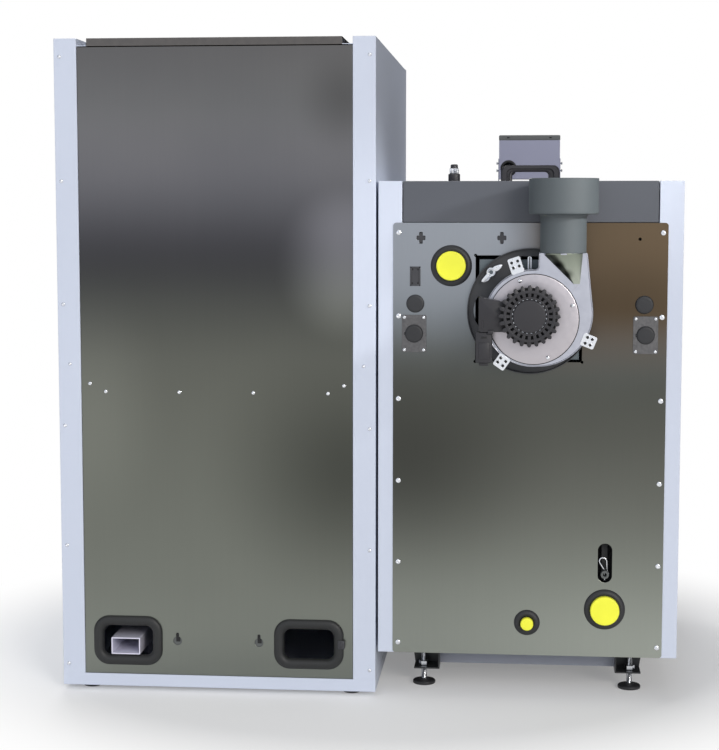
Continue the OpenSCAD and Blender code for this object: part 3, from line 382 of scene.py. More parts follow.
# Mesh helpers: shapes are drawn in the drawing's millimetres and moved into the frame at the end

def linked(name, mesh):
    piece = bpy.data.objects.new(name, mesh)
    bpy.context.collection.objects.link(piece)
    return piece


# The drawn mesh as plain mesh data; given an angle, it is shaded smooth with sharper edges kept
def meshOf(bm, name="drawn", sharp=None):
    mesh = bpy.data.meshes.new(name)
    bm.to_mesh(mesh)
    bm.free()
    if sharp:
        mesh.polygons.foreach_set("use_smooth", [True] * len(mesh.polygons))
        mesh.set_sharp_from_angle(angle=math.radians(sharp))
    return mesh


# Makes an object of a drawn mesh, rides it on its body and lets it stand for its CAD node.
# A soft width in millimetres rounds its edges with a live bevel.
def dress(name, bm, finishes, node, sharp=35, inFrame=False, soft=0.0, steps=2):
    if not inFrame:
        for vert in bm.verts:
            vert.co = spot(*vert.co)
        bmesh.ops.recalc_face_normals(bm, faces=bm.faces)
    piece = linked(name, meshOf(bm, name, sharp))
    for finish in finishes:
        piece.data.materials.append(finish)
    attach(piece, bodyOf[node])
    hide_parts(node)
    if soft:
        softEdges(piece, soft, steps)
    return piece


def paint(faces, finish):
    for face in faces:
        face.material_index = finish


# Rounds the given edges and gives back the new faces
def roundEdges(bm, edges, radius, steps, clamp=True):
    return bmesh.ops.bevel(bm, geom=edges, offset=radius, offset_type="OFFSET", segments=steps, profile=0.5,
                           affect="EDGES", clamp_overlap=clamp)["faces"]


# Faces that turn less than flatTurn lie in one plane. A rim's area per length of border, and the length
# of an edge across it, are in metres.
flatTurn = math.radians(0.8)
rimLook = {"areaPerBorder": 0.03, "widest": 0.1}


# True for a short edge that crosses a flat rim squarely from one border to the other
def crossesRim(edge):
    if len(edge.link_faces) != 2 or edge.calc_length() > rimLook["widest"] or edge.calc_face_angle(0) > flatTurn:
        return False
    normal = edge.link_faces[0].normal
    for vert in edge.verts:
        along = (edge.other_vert(vert).co - vert.co).normalized()
        for other in vert.link_edges:
            side = (other.other_vert(vert).co - vert.co).normalized()
            if (len(other.link_faces) == 2 and other.calc_face_angle(0) > flatTurn
                    and abs(side.dot(normal)) < 0.1 and abs(along.dot(side)) > 0.9):
                return False
    return True


# The edges inside each narrow flat rim that goes round an opening
def edgesRoundOpenings(bm):
    left = set(bm.faces)
    while left:
        region, queue = set(), [left.pop()]
        while queue:
            face = queue.pop()
            region.add(face)
            for edge in face.edges:
                if len(edge.link_faces) == 2 and edge.calc_face_angle(0) < flatTurn:
                    for other in left.intersection(edge.link_faces):
                        left.remove(other)
                        queue.append(other)
        edges = {edge for face in region for edge in face.edges}
        verts = {vert for edge in edges for vert in edge.verts}
        border = sum(edge.calc_length() for edge in edges if not region.issuperset(edge.link_faces))
        isNarrow = sum(face.calc_area() for face in region) < rimLook["areaPerBorder"] * border
        if isNarrow and len(verts) - len(edges) + len(region) < 1:
            yield from edges


# A CAD node's mesh, merged and with its flat faces joined, still in the frame's metres.
# Rims stay split across their width, so that a bevel never pulls a rim's face over its opening.
def mergedCopy(nodeName):
    bm = bmesh.new()
    bm.from_mesh(frame["nodes"][nodeName].data)
    bmesh.ops.remove_doubles(bm, verts=bm.verts, dist=1e-5)
    bm.normal_update()
    for edge in edgesRoundOpenings(bm):
        edge.seam = crossesRim(edge)
    bmesh.ops.dissolve_limit(bm, angle_limit=flatTurn, verts=bm.verts, edges=bm.edges, delimit={"SEAM"})
    for edge in bm.edges:
        edge.seam = False
    paint(bm.faces, 0)
    return bm


# The same in drawing millimetres, ready for more shapes to be drawn onto it
def drawnCopy(nodeName):
    bm = mergedCopy(nodeName)
    for vert in bm.verts:
        vert.co = drawingSpot(vert.co)
    return bm


# Softens the edges of a folded or moulded piece with a live bevel
def softEdges(piece, width, steps=2):
    bevel = piece.modifiers.new("softEdges", "BEVEL")
    bevel.width = width / 1000
    bevel.segments = steps
    bevel.limit_method = "ANGLE"
    bevel.angle_limit = math.radians(35)
    bevel.use_clamp_overlap = False
    normals = piece.modifiers.new("flatFaces", "WEIGHTED_NORMAL")
    normals.weight = 100
    normals.keep_sharp = True


# Rounds the corners of a profile with short arcs; a corner that is kept sharp is left out by its number
def softProfile(points, radius, steps=3, closed=False, sharp=()):
    rounded = []
    count = len(points)
    for index, point in enumerate(points):
        here = Vector(point)
        if index in sharp or (not closed and index in (0, count - 1)):
            rounded.append(tuple(here))
            continue
        before, after = Vector(points[index - 1]), Vector(points[(index + 1) % count])
        reach = min(radius, (before - here).length * 0.45, (after - here).length * 0.45)
        start = here + (before - here).normalized() * reach
        end = here + (after - here).normalized() * reach
        for step in range(steps + 1):
            t = step / steps
            rounded.append(tuple(start * (1 - t) ** 2 + here * 2 * t * (1 - t) + end * t ** 2))
    return rounded


# Each row with the one after it, and the last with the first when closed
def neighbours(rows, closed):
    return list(zip(rows, rows[1:] + rows[:1] if closed else rows[1:]))


# Turns a profile of (radius, height) about an upright axis or one that points along Y
def turned(bm, profile, centre, axis="Z", steps=64, closed=False, finish=0, shape=None):
    rings = []
    for radius, along in profile:
        ring = []
        for step in range(1 if radius < 1e-6 else steps):
            angle = 2 * math.pi * step / steps
            reach = radius * (shape(angle, radius) if shape else 1)
            across, up = reach * math.cos(angle), reach * math.sin(angle)
            place = (across, up, along) if axis == "Z" else (across, along, up)
            ring.append(bm.verts.new(Vector(centre) + Vector(place)))
        rings.append(ring)
    for low, high in neighbours(rings, closed):
        for step in range(steps):
            after = (step + 1) % steps
            corners = (low[step % len(low)], low[after % len(low)], high[after % len(high)], high[step % len(high)])
            corners = list(dict.fromkeys(corners))
            if len(corners) > 2:
                bm.faces.new(corners).material_index = finish


# A box with softened edges, from its low to its high corner
def softBox(bm, low, high, radius=0.6, steps=2, finish=0):
    made = bmesh.ops.create_cube(bm, size=1.0)["verts"]
    for vert in made:
        vert.co = Vector([low[k] + (high[k] - low[k]) * (vert.co[k] + 0.5) for k in range(3)])
    edges = list({edge for vert in made for edge in vert.link_edges})
    rounds = roundEdges(bm, edges, radius, steps)
    paint([face for made in rounds for vert in made.verts for face in vert.link_faces], finish)


# Boxes counted from one point, each as its low and high corner, rounding, steps and finish
def softBoxes(bm, origin, boxes):
    for low, high, radius, steps, finish in boxes:
        softBox(bm, Vector(origin) + Vector(low), Vector(origin) + Vector(high), radius, steps, finish)


# A flat outline in X and Z with a thickness along Y
def plate(bm, outline, y0, y1, finish=0, soft=0.0):
    front = [bm.verts.new((x, y0, z)) for x, z in outline]
    back = [bm.verts.new((x, y1, z)) for x, z in outline]
    faces = [bm.faces.new(front), bm.faces.new(back[::-1])]
    for index in range(len(outline)):
        after = (index + 1) % len(outline)
        faces.append(bm.faces.new((front[index], back[index], back[after], front[after])))
    paint(faces, finish)
    if soft:
        paint(roundEdges(bm, [edge for face in faces[:2] for edge in face.edges], soft, 2), finish)


# A point given from a centre, turned with its piece about the axis along Y
def turnedSpot(x, z, turn, u, v):
    angle = math.radians(turn)
    return x + u * math.cos(angle) - v * math.sin(angle), z + u * math.sin(angle) + v * math.cos(angle)


# Evenly stepped points of a rectangle with round corners
def roundedRectangle(x, z, wide, high, radius, steps=8):
    points = []
    for cornerX, cornerZ, start in ((1, 1, 0), (-1, 1, 90), (-1, -1, 180), (1, -1, 270)):
        for step in range(steps + 1):
            angle = math.radians(start + 90 * step / steps)
            points.append((x + cornerX * (wide / 2 - radius) + radius * math.cos(angle),
                           z + cornerZ * (high / 2 - radius) + radius * math.sin(angle)))
    return points


# Joins loops of equal length into a skin, closed into a ring when asked
def skinLoops(bm, loops, closed=False, finish=0, caps=False):
    rows = [[bm.verts.new(point) for point in loop] for loop in loops]
    for low, high in neighbours(rows, closed):
        for index in range(len(low)):
            after = (index + 1) % len(low)
            bm.faces.new((low[index], low[after], high[after], high[index])).material_index = finish
    if caps:
        bm.faces.new(rows[0]).material_index = finish
        bm.faces.new(rows[-1][::-1]).material_index = finish


# Geometry Nodes helpers

# Starts a node tree with named inputs; each is given as name: (socket kind, start value)
def newNodeTree(name, inputs):
    tree = bpy.data.node_groups.new(name, "GeometryNodeTree")
    tree.interface.new_socket("Geometry", in_out="INPUT", socket_type="NodeSocketGeometry")
    tree.interface.new_socket("Geometry", in_out="OUTPUT", socket_type="NodeSocketGeometry")
    for label, (kind, value) in inputs.items():
        socket = tree.interface.new_socket(label, in_out="INPUT", socket_type=kind)
        if value is not None:
            socket.default_value = value
    source = tree.nodes.new("NodeGroupInput")
    return tree, source.outputs


def endNodeTree(tree, geometry, finish):
    real = addNode(tree, "GeometryNodeRealizeInstances", links={0: geometry})
    dressed = addNode(tree, "GeometryNodeSetMaterial", links={"Geometry": real, "Material": finish})
    addNode(tree, "NodeGroupOutput", links={0: dressed})


# Runs a tree on a mesh and gives back the plain result
def runNodeTree(tree, mesh, values):
    carrier = linked("carrier", mesh)
    modifier = carrier.modifiers.new("shape", "NODES")
    modifier.node_group = tree
    for socket in tree.interface.items_tree:
        if socket.in_out == "INPUT" and socket.name in values:
            modifier[socket.identifier] = values[socket.name]
    carrier.update_tag()
    bpy.context.view_layer.update()
    result = bpy.data.meshes.new_from_object(carrier.evaluated_get(bpy.context.evaluated_depsgraph_get()))
    bpy.data.objects.remove(carrier)
    return result


# Adds a finished mesh to a drawn one, with one material number for all its faces
def joinMesh(bm, mesh, finish=0):
    before = len(bm.faces)
    bm.from_mesh(mesh)
    bm.faces.ensure_lookup_table()
    paint(bm.faces[before:], finish)
    bpy.data.meshes.remove(mesh)


# Copies of a shape round an axis through a centre, turned step by step
def buildRadialTree():
    tree, given = newNodeTree("radialCopies", {
        "Count": ("NodeSocketInt", 12), "Axis Turn": ("NodeSocketVector", (0, 1, 0)),
        "Centre": ("NodeSocketVector", (0, 0, 0)), "Finish": ("NodeSocketMaterial", None)})
    places = addNode(tree, "GeometryNodePoints", links={"Count": given["Count"]})
    index = addNode(tree, "GeometryNodeInputIndex")
    share = addNode(tree, "ShaderNodeMath", {"operation": "DIVIDE"}, links={0: index, 1: given["Count"]})
    angle = addNode(tree, "ShaderNodeMath", {"operation": "MULTIPLY"}, {1: 2 * math.pi}, {0: share})
    turn = addNode(tree, "ShaderNodeVectorMath", {"operation": "SCALE"}, links={0: given["Axis Turn"], "Scale": angle})
    copies = addNode(tree, "GeometryNodeInstanceOnPoints",
                     links={"Points": places, "Instance": given["Geometry"], "Rotation": turn})
    placed = addNode(tree, "GeometryNodeTransform", links={"Geometry": copies, "Translation": given["Centre"]})
    endNodeTree(tree, placed, given["Finish"])
    return tree


# Round wire or bead along a drawn line
def buildWireTree():
    tree, given = newNodeTree("wireAlongPath", {
        "Radius": ("NodeSocketFloat", 1.5), "Sides": ("NodeSocketInt", 12), "Finish": ("NodeSocketMaterial", None)})
    line = addNode(tree, "GeometryNodeMeshToCurve", links={"Mesh": given["Geometry"]})
    ring = addNode(tree, "GeometryNodeCurvePrimitiveCircle",
                   links={"Resolution": given["Sides"], "Radius": given["Radius"]})
    wire = addNode(tree, "GeometryNodeCurveToMesh", values={"Fill Caps": True},
                   links={"Curve": line, "Profile Curve": ring})
    endNodeTree(tree, wire, given["Finish"])
    return tree


# One screw head at each point, scaled to its own radius and turned at random
def buildHeadTree():
    tree, given = newNodeTree("screwHeads", {
        "Head": ("NodeSocketObject", None), "Height": ("NodeSocketFloat", 2.5), "Seed": ("NodeSocketInt", 7),
        "Finish": ("NodeSocketMaterial", None)})
    shape = addNode(tree, "GeometryNodeObjectInfo", links={"Object": given["Head"]})
    radius = addNode(tree, "GeometryNodeInputNamedAttribute", {"data_type": "FLOAT"}, {"Name": "headRadius"})
    size = addNode(tree, "ShaderNodeCombineXYZ", links={"X": radius, "Y": given["Height"], "Z": radius})
    spin = addNode(tree, "FunctionNodeRandomValue", {"data_type": "FLOAT"}, {"Max": math.pi}, {"Seed": given["Seed"]})
    angle = next(socket for socket in spin.outputs if socket.enabled)
    turn = addNode(tree, "ShaderNodeCombineXYZ", links={"Y": angle})
    heads = addNode(tree, "GeometryNodeInstanceOnPoints",
                    links={"Points": given["Geometry"], "Instance": shape.outputs["Geometry"],
                           "Rotation": turn, "Scale": size})
    endNodeTree(tree, heads, given["Finish"])
    return tree


radialTree = buildRadialTree()
wireTree = buildWireTree()
headTree = buildHeadTree()


# Copies of one drawn shape round an axis along Y, as a plain mesh
def radialCopies(bm, count, centre, finish):
    return runNodeTree(radialTree, meshOf(bm), {"Count": count, "Centre": centre, "Finish": finish})


def wireMesh(points, radius, finish, sides=12):
    bm = bmesh.new()
    for pair in neighbours([bm.verts.new(point) for point in points], False):
        bm.edges.new(pair)
    return runNodeTree(wireTree, meshOf(bm), {"Radius": radius, "Sides": sides, "Finish": finish})


print("helpers and node trees ready")


# Casing sheets: folded steel, so each long fold is round and each cut edge is only broken

sheetLook = {"foldRadius": 1.9, "cutEdge": 0.35, "longFold": 0.06, "flatFrom": 0.004, "narrowest": 0.006}


def camelName(nodeName):
    first, *rest = nodeName.split("_")
    return first + "".join(word.capitalize() for word in rest)


# How far a face reaches inwards from the middle of one of its edges
def widthFrom(loop):
    start = (loop.vert.co + loop.link_loop_next.vert.co) / 2
    along = (loop.link_loop_next.vert.co - loop.vert.co).normalized()
    inwards = loop.face.normal.cross(along)
    width = math.inf
    for other in loop.face.loops:
        first, second = other.vert.co - start, other.link_loop_next.vert.co - start
        low, high = first.dot(along), second.dot(along)
        if other is not loop and low * high <= 0 and abs(high - low) > 1e-9:
            reach = (first + (second - first) * (low / (low - high))).dot(inwards)
            width = min(width, reach) if reach > 1e-7 else width
    return width


# Gives each face the finish that pick names for its middle, in drawing millimetres
def pickFinishes(bm, pick):
    for face in bm.faces:
        face.material_index = pick(*drawingSpot(face.calc_center_median()))


def foldedSheet(nodeName, finishes, pick=None, foldRadius=sheetLook["foldRadius"], cutEdge=sheetLook["cutEdge"],
                fold=True):
    bm = mergedCopy(nodeName)
    if pick:
        pickFinishes(bm, pick)
    if fold:
        folds = [edge for edge in bm.edges
                 if len(edge.link_faces) == 2 and edge.calc_length() > sheetLook["longFold"]
                 and edge.is_convex and math.radians(80) < edge.calc_face_angle(0) < math.radians(100)
                 and min(widthFrom(loop) for loop in edge.link_loops) > sheetLook["narrowest"]]
        roundEdges(bm, folds, foldRadius / 1000, 3, clamp=False)
    piece = dress(camelName(nodeName), bm, finishes, nodeName, sharp=180, inFrame=True)
    for polygon in piece.data.polygons:
        polygon.use_smooth = polygon.area < sheetLook["flatFrom"]
    softEdges(piece, cutEdge)


for nodeName in ("hopper_base", "hopper_left_panel", "hopper_right_panel", "hopper_front_panel",
                 "boiler_left_panel", "boiler_right_panel", "boiler_front_panel"):
    foldedSheet(nodeName, [whiteCoat], foldRadius=1.4, cutEdge=0.2)
foldedSheet("hopper_rear_panel", [hopperZinc], foldRadius=1.2)
foldedSheet("boiler_rear_panel", [boilerZinc], fold=False, cutEdge=0.4)
foldedSheet("boiler_top_front", [darkCoat])
foldedSheet("boiler_top_cover", [darkCoat])
foldedSheet("gland_plates", [glandSheet], fold=False)
foldedSheet("cable_duct", [ductSheet], foldRadius=1.4)
foldedSheet("fan_flange", [ringCoat], fold=False, cutEdge=0.6)
foldedSheet("flue_box", [innerSheet], foldRadius=1.2)

# The raised tray is bare zinc and the two gutters beside it are white
foldedSheet("hopper_top_panel", [trayZinc, whiteCoat], lambda x, y, z: 0 if -586.1 < x < -71.9 else 1, fold=False)

# The lid's grip is black plastic on a white lid
foldedSheet("hopper_lid", [whiteCoat, blackPlastic],
            lambda x, y, z: 1 if z > 1345.2 and -400 < x < -258 and y > 790 else 0)
foldedSheet("fire_door", [darkCoat], foldRadius=2.4, cutEdge=0.6)
foldedSheet("ash_drawer", [darkCoat, plainZinc, blackPlastic],
            lambda x, y, z: 2 if y > 906.5 else 0 if y > 902.9 else 1, foldRadius=1.8)
foldedSheet("base_frame", [blackCoat, railCoat], lambda x, y, z: 1 if 122 < x < 482 and z < 91.9 else 0, foldRadius=2.5)
foldedSheet("hinges", [brightSteel], fold=False, cutEdge=0.5)
print("casing sheets folded")


# Round glides under the hopper

glideLook = {"x": (-601, -57), "y": (40, 862),
             "profile": [(0, 0), (17.5, 0), (20, 2.2), (20, 8.4), (18.6, 10), (4, 10), (4, 19), (0, 19)]}


def hopperGlides():
    bm = bmesh.new()
    for x in glideLook["x"]:
        for y in glideLook["y"]:
            turned(bm, softProfile(glideLook["profile"], 0.8, sharp=(0, 7)), (x, y, 0), steps=48)
    dress("hopperGlides", bm, [footPlastic], "hopper_glides")


hopperGlides()


# Rubber rings round the two ports, with the little clip on the right one

portLook = {
    "centres": (-516.3, -141.7), "height": 105.5, "wide": 143, "high": 102.5, "corner": 32, "cornerShrink": 0.83,
    "section": [(10.3, 3), (0.2, 3), (0, 0.8), (0.9, -1.5), (3.0, -3.6), (6.4, -4.9), (10.4, -5.2), (14.2, -4.4),
                (17.4, -2.5), (19.5, 0.3), (20.4, 3.6), (20.4, 8), (5, 8), (5, 4.5), (10.3, 4.5)],
    "clipPlace": (-74.5, 0, 107.5),
    "clip": [((-7, -7.2, -9), (7, -1, 9), 1.6, 3, 1), ((-2.2, -9.2, -6), (2.2, -6, 6), 1.2, 2, 1)]}


def rubberRings():
    bm = bmesh.new()
    for centre in portLook["centres"]:
        loops = []
        for inset, y in portLook["section"]:
            wide, high = portLook["wide"] - 2 * inset, portLook["high"] - 2 * inset
            corner = portLook["corner"] - portLook["cornerShrink"] * inset
            loop = roundedRectangle(centre, portLook["height"], wide, high, corner)
            loops.append([(x, y, z) for x, z in loop])
        skinLoops(bm, loops, closed=True)
    softBoxes(bm, portLook["clipPlace"], portLook["clip"])
    dress("portRings", bm, [portRubber, blackPlastic], "port_grommets", sharp=50)


rubberRings()


# Screws: pan heads with a cross recess, each turned at random, and the nuts on the foot spindles

screwLook = {
    "height": 2.6, "dome": [(1.0, 0.0), (1.0, -0.25), (0.93, -0.55), (0.76, -0.82), (0.5, -0.97), (0.44, -0.99)],
    "steps": 24, "recess": 0.42, "seed": 11,
    "hopperRows": (55.2, 247.8), "boilerRows": (116, 165.7), "rowCount": 6,
    "glandScrews": ((72, 743.8), (528.5, 743.4)), "plateCentre": (308, 779.5), "plateTurns": (110, 20, -69),
    "nuts": ((88, 118), (88, 784), (514, 118), (514, 784)),
    "nut": [(6.1, 39), (9.6, 39), (10.9, 40), (10.9, 48), (9.6, 49), (6.1, 49)],
    "keyholes": (-413.5, -244.5), "keyholeHeight": 106.5}


# A head of radius 1 and height 1, with its cross sunk into the top
def screwHead():
    bm = bmesh.new()
    steps = screwLook["steps"]
    turned(bm, screwLook["dome"], (0, 0, 0), "Y", steps)
    edge = list(bm.verts)[-steps:]
    rim = [vert.co.copy() for vert in edge]
    degrees = [360 / steps * k % 90 for k in range(steps)]
    cross = [1.0 if min(turn, 90 - turn) < 16 else screwLook["recess"] for turn in degrees]
    rows = [edge]
    for y, shrink in ((-0.99, 1.0), (-0.45, 0.85)):
        rows.append([bm.verts.new((co.x * reach * shrink, y, co.z * reach * shrink)) for co, reach in zip(rim, cross)])
    for low, high in neighbours(rows, False):
        for step in range(steps):
            after = (step + 1) % steps
            bm.faces.new((low[step], low[after], high[after], high[step]))
    bm.faces.new(rows[-1])
    bmesh.ops.recalc_face_normals(bm, faces=bm.faces)
    return linked("screwHead", meshOf(bm, "screwHead", 40))


# Each screw as x, y, z and the radius of its head: casing rows, hopper band, gland plates and fan cover
def screwPlaces():
    places = []
    for k in range(screwLook["rowCount"]):
        hopperZ, boilerZ = (start + k * pitch for start, pitch in (screwLook["hopperRows"], screwLook["boilerRows"]))
        places += [(-641, 0, hopperZ, 4), (-17, 0, hopperZ, 4), (41, -1.5, boilerZ, 5.5), (560, -1.5, boilerZ, 5.5)]
    for side in (-1, 1):
        places += [(-329 + side * 299.8, 0, 677, 3.5), (-329 + side * 260, 3, 637, 4)]
        places += [(-329 + side * k * 151.67, 3, 621, 4) for k in (0.5, 1.5)]
    for x, z in screwLook["glandScrews"]:
        places += [(x + u, -3, z + v, 3.6) for u in (-19.3, 19.3) for v in (-32.4, 32.4)]
    for turn in screwLook["plateTurns"]:
        x, z = turnedSpot(*screwLook["plateCentre"], turn, 79, 0)
        places.append((x, -98, z, 4))
    return places


def casingScrews():
    places = screwPlaces()
    mesh = bpy.data.meshes.new("screwPlaces")
    mesh.from_pydata([place[:3] for place in places], [], [])
    mesh.attributes.new("headRadius", "FLOAT", "POINT").data.foreach_set("value", [place[3] for place in places])
    head = screwHead()
    heads = runNodeTree(headTree, mesh, {"Head": head, "Height": screwLook["height"], "Seed": screwLook["seed"],
                                         "Finish": screwSteel})
    bpy.data.objects.remove(head)
    bm = bmesh.new()
    joinMesh(bm, heads)
    for place in screwLook["nuts"]:
        turned(bm, screwLook["nut"], (*place, 0), steps=6, closed=True)
    z = screwLook["keyholeHeight"]
    for x in screwLook["keyholes"]:
        turned(bm, [(0, 5.4), (9.6, 5.4), (9.6, 6.2), (0, 6.2)], (x, 0, z), "Y", 32, finish=1)
        # A black box behind each keyhole's slot is painted shade in the slot
        softBox(bm, (x - 3.2, 4.9, z - 2), (x + 5.2, 5.6, z + 18.5), 0.2, 1, 2)
    dress("casingScrews", bm, [screwSteel, wipedSteel, blackAndPaintedShade], "casing_screws", sharp=40)


casingScrews()
print("screws set")


# Levelling feet: a round plastic pad on a threaded steel spindle

footLook = {
    "places": {"foot_rear_left": (88, 118), "foot_rear_right": (514, 118), "foot_front_left": (88, 784),
               "foot_front_right": (514, 784)},
    "pad": [(0, 0), (22, 0), (23.5, 1.4), (23.5, 5.8), (21.6, 7.8), (15, 9.2), (9.5, 9.6), (9.5, 11.5), (6.1, 11.5),
            (6.1, 9.5), (0, 9.5)],
    "spindleRadius": 6, "threadDepth": 0.75, "pitch": 2.5, "steps": 24, "low": 9.2, "threadTop": 67.2, "top": 68}


# A spindle whose rings of points swing in and out once per pitch, so that its thread rises as a screw's does
def threadedSpindle(bm, x, y):
    low, steps, pitch = footLook["low"], footLook["steps"], footLook["pitch"]
    high = footLook["threadTop"]
    count = int((high - low) / pitch * 4)
    rows = []
    for row in range(count + 1):
        along = low + (high - low) * row / count
        ring = []
        for step in range(steps):
            phase = (along / pitch - step / steps) % 1
            reach = footLook["spindleRadius"] - footLook["threadDepth"] * (1 - abs(2 * phase - 1))
            angle = 2 * math.pi * step / steps
            ring.append((x + reach * math.cos(angle), y + reach * math.sin(angle), along))
        rows.append(ring)
    skinLoops(bm, rows, finish=1, caps=True)


for nodeName, place in footLook["places"].items():
    bm = bmesh.new()
    turned(bm, softProfile(footLook["pad"], 0.9, sharp=(0, 9, 10)), (*place, 0), steps=56)
    threadedSpindle(bm, *place)
    tip = [(5.2, footLook["threadTop"]), (4.2, footLook["top"]), (0, footLook["top"])]
    turned(bm, tip, (*place, 0), steps=footLook["steps"], finish=1)
    dress(camelName(nodeName), bm, [footPlastic, screwSteel], nodeName, sharp=32)
print("feet ready")


# Bow handle on the lift-off cover: one moulding with a groove along its faces

bowLook = {
    "centre": 300, "base": 1046, "halfWidth": 59.5, "height": 33, "outerCorner": 13.5, "innerHalf": 36.5,
    "innerHeight": 19.5, "innerCorner": 8, "yMiddle": 120, "yHalf": 12,
    "section": [(-1, -0.66), (-0.86, -0.9), (-0.58, -0.96), (-0.5, -0.66), (-0.1, -0.66), (0.0, -1), (0.74, -1),
                (1, -0.7), (1, 0.7), (0.74, 1), (0.0, 1), (-0.1, 0.66), (-0.5, 0.66), (-0.58, 0.96), (-0.86, 0.9),
                (-1, 0.66)]}


def bowLine(half, height, corner, steps=8):
    points = [(-half, 0), (-half, (height - corner) * 0.5)]
    for side, start in ((-1, 180), (1, 90)):
        for step in range(steps + 1):
            angle = math.radians(start - 90 * step / steps)
            points.append((side * (half - corner) + corner * math.cos(angle),
                           height - corner + corner * math.sin(angle)))
    return points + [(half, (height - corner) * 0.5), (half, 0)]


def bowHandle():
    outer = bowLine(bowLook["halfWidth"], bowLook["height"], bowLook["outerCorner"])
    inner = bowLine(bowLook["innerHalf"], bowLook["innerHeight"], bowLook["innerCorner"])
    x, y, z = bowLook["centre"], bowLook["yMiddle"], bowLook["base"]
    loops = []
    for (ox, oz), (ix, iz) in zip(outer, inner):
        section = [((u + 1) / 2, v) for u, v in bowLook["section"]]
        loops.append([(x + ix + (ox - ix) * t, y + v * bowLook["yHalf"], z + iz + (oz - iz) * t) for t, v in section])
    bm = bmesh.new()
    skinLoops(bm, loops, caps=True)
    dress("bowHandle", bm, [handlePlastic], "top_handle", sharp=40)


bowHandle()


# Air vent: dark base, knurled metal body and a black cap

ventLook = {"place": (145.9, 110, 0), "top": 1046, "knurls": 36, "knurlDepth": 0.035}


# Waves the rim of the vent's body and leaves its smaller rings round
def knurl(angle, radius):
    return 1 + ventLook["knurlDepth"] * math.cos(ventLook["knurls"] * angle) if radius > 8.5 else 1


def airVent():
    bm = bmesh.new()
    centre, top = ventLook["place"], ventLook["top"]
    base = [(8, top + 0.1), (12, top + 0.1), (12, top + 14.6), (10.4, top + 16), (9, top + 16)]
    cap = [(8.2, top + 27), (7.5, top + 27.4), (7.5, top + 33), (5.6, top + 35), (0, top + 35)]
    turned(bm, [(0, 905), (8, 905), (8, top + 3)], centre, steps=32)
    turned(bm, softProfile(base, 1.2), centre, steps=48, finish=1)
    turned(bm, [(8.4, top + 16), (9, top + 17), (9, top + 26), (8.2, top + 27)], centre, steps=144, shape=knurl)
    turned(bm, softProfile(cap, 1.0), centre, steps=48, finish=1)
    dress("airVent", bm, [screwSteel, motorPlastic], "air_vent", sharp=32)


airVent()


# Rubber rings, pipe stubs and the yellow caps that close them for transport

# Each pipe: x, z, the radius of its cap, pipe, rubber ring and hole, the ring's bore and the pipe's wall
pipeLook = {
    "flow_cap": (145.5, 879, 29, 24.15, 41, 33.7, 24.45, 3), "return_cap": (455.5, 192, 29, 24.15, 41, 33.7, 24.45, 3),
    "drain_cap": (301, 162, 12.8, 10.65, 26, 19.7, 10.95, 2)}


# The lip of a rubber ring: how far it has grown from bore to flange, and its depth
pipeRingLip = [(0.1, -5.4), (0.3, -6.9), (0.52, -7.2), (0.75, -6.2), (0.92, -4.2)]


def pipeFittings():
    rings, stubs = bmesh.new(), bmesh.new()
    for nodeName, (x, z, outer, pipe, flange, hole, bore, wall) in pipeLook.items():
        cap = [(0, -20), (outer - 1.4, -20), (outer, -18.6), (outer, -8.2), (outer - 1.2, -7), (pipe + 0.1, -7),
               (pipe + 0.1, -17), (0, -17)]
        bm = bmesh.new()
        turned(bm, softProfile(cap, 0.9, sharp=(0, 5, 6, 7)), (x, 0, z), "Y", 72)
        dress(camelName(nodeName), bm, [yellowPlastic], nodeName, sharp=40)
        lip = [(bore + share * (flange - bore), y) for share, y in pipeRingLip]
        ring = [(bore, 4), (bore, -3.2), *lip, (flange, -1.5), (hole, -1.5), (hole, 4)]
        turned(rings, softProfile(ring, 0.8, closed=True, sharp=(0, 7, 8, 9)), (x, 0, z), "Y", 80, closed=True)
        stub = [(pipe - wall, 60), (pipe - wall, -16.4), (pipe - wall + 0.6, -17), (pipe - 0.9, -17), (pipe, -16.1),
                (pipe, 60)]
        turned(stubs, stub, (x, 0, z), "Y", 64, closed=True)
    dress("pipeRubbers", rings, [rubber], "pipe_grommets", sharp=40)
    dress("pipeStubs", stubs, [blackCoat], "water_pipes", sharp=32)


pipeFittings()
print("pipes, rings and caps ready")


# Cable inlets: four stepped rubber discs, the empty socket housing and the dark backs of the two cross slots

inletLook = {
    "discs": ((74.2, 803.5, -1.5), (525.4, 803.3, -1.5), (72, 743.8, -3), (528.5, 743.4, -3)),
    "section": [(0, -4.8), (3.2, -4.8), (6, -4.7), (9, -4.6), (12, -4.6), (14, -4.5), (16.0, -4.0), (17.2, -2.9),
                (18, -1.6), (18, 0), (13.7, 0), (13.7, 4.5), (0, 4.5)],
    "socket": (63.6, 838.8, 20.6, 38.3), "rim": 3, "crosses": ((85, 934), (245, 934)), "crossHalf": 10}


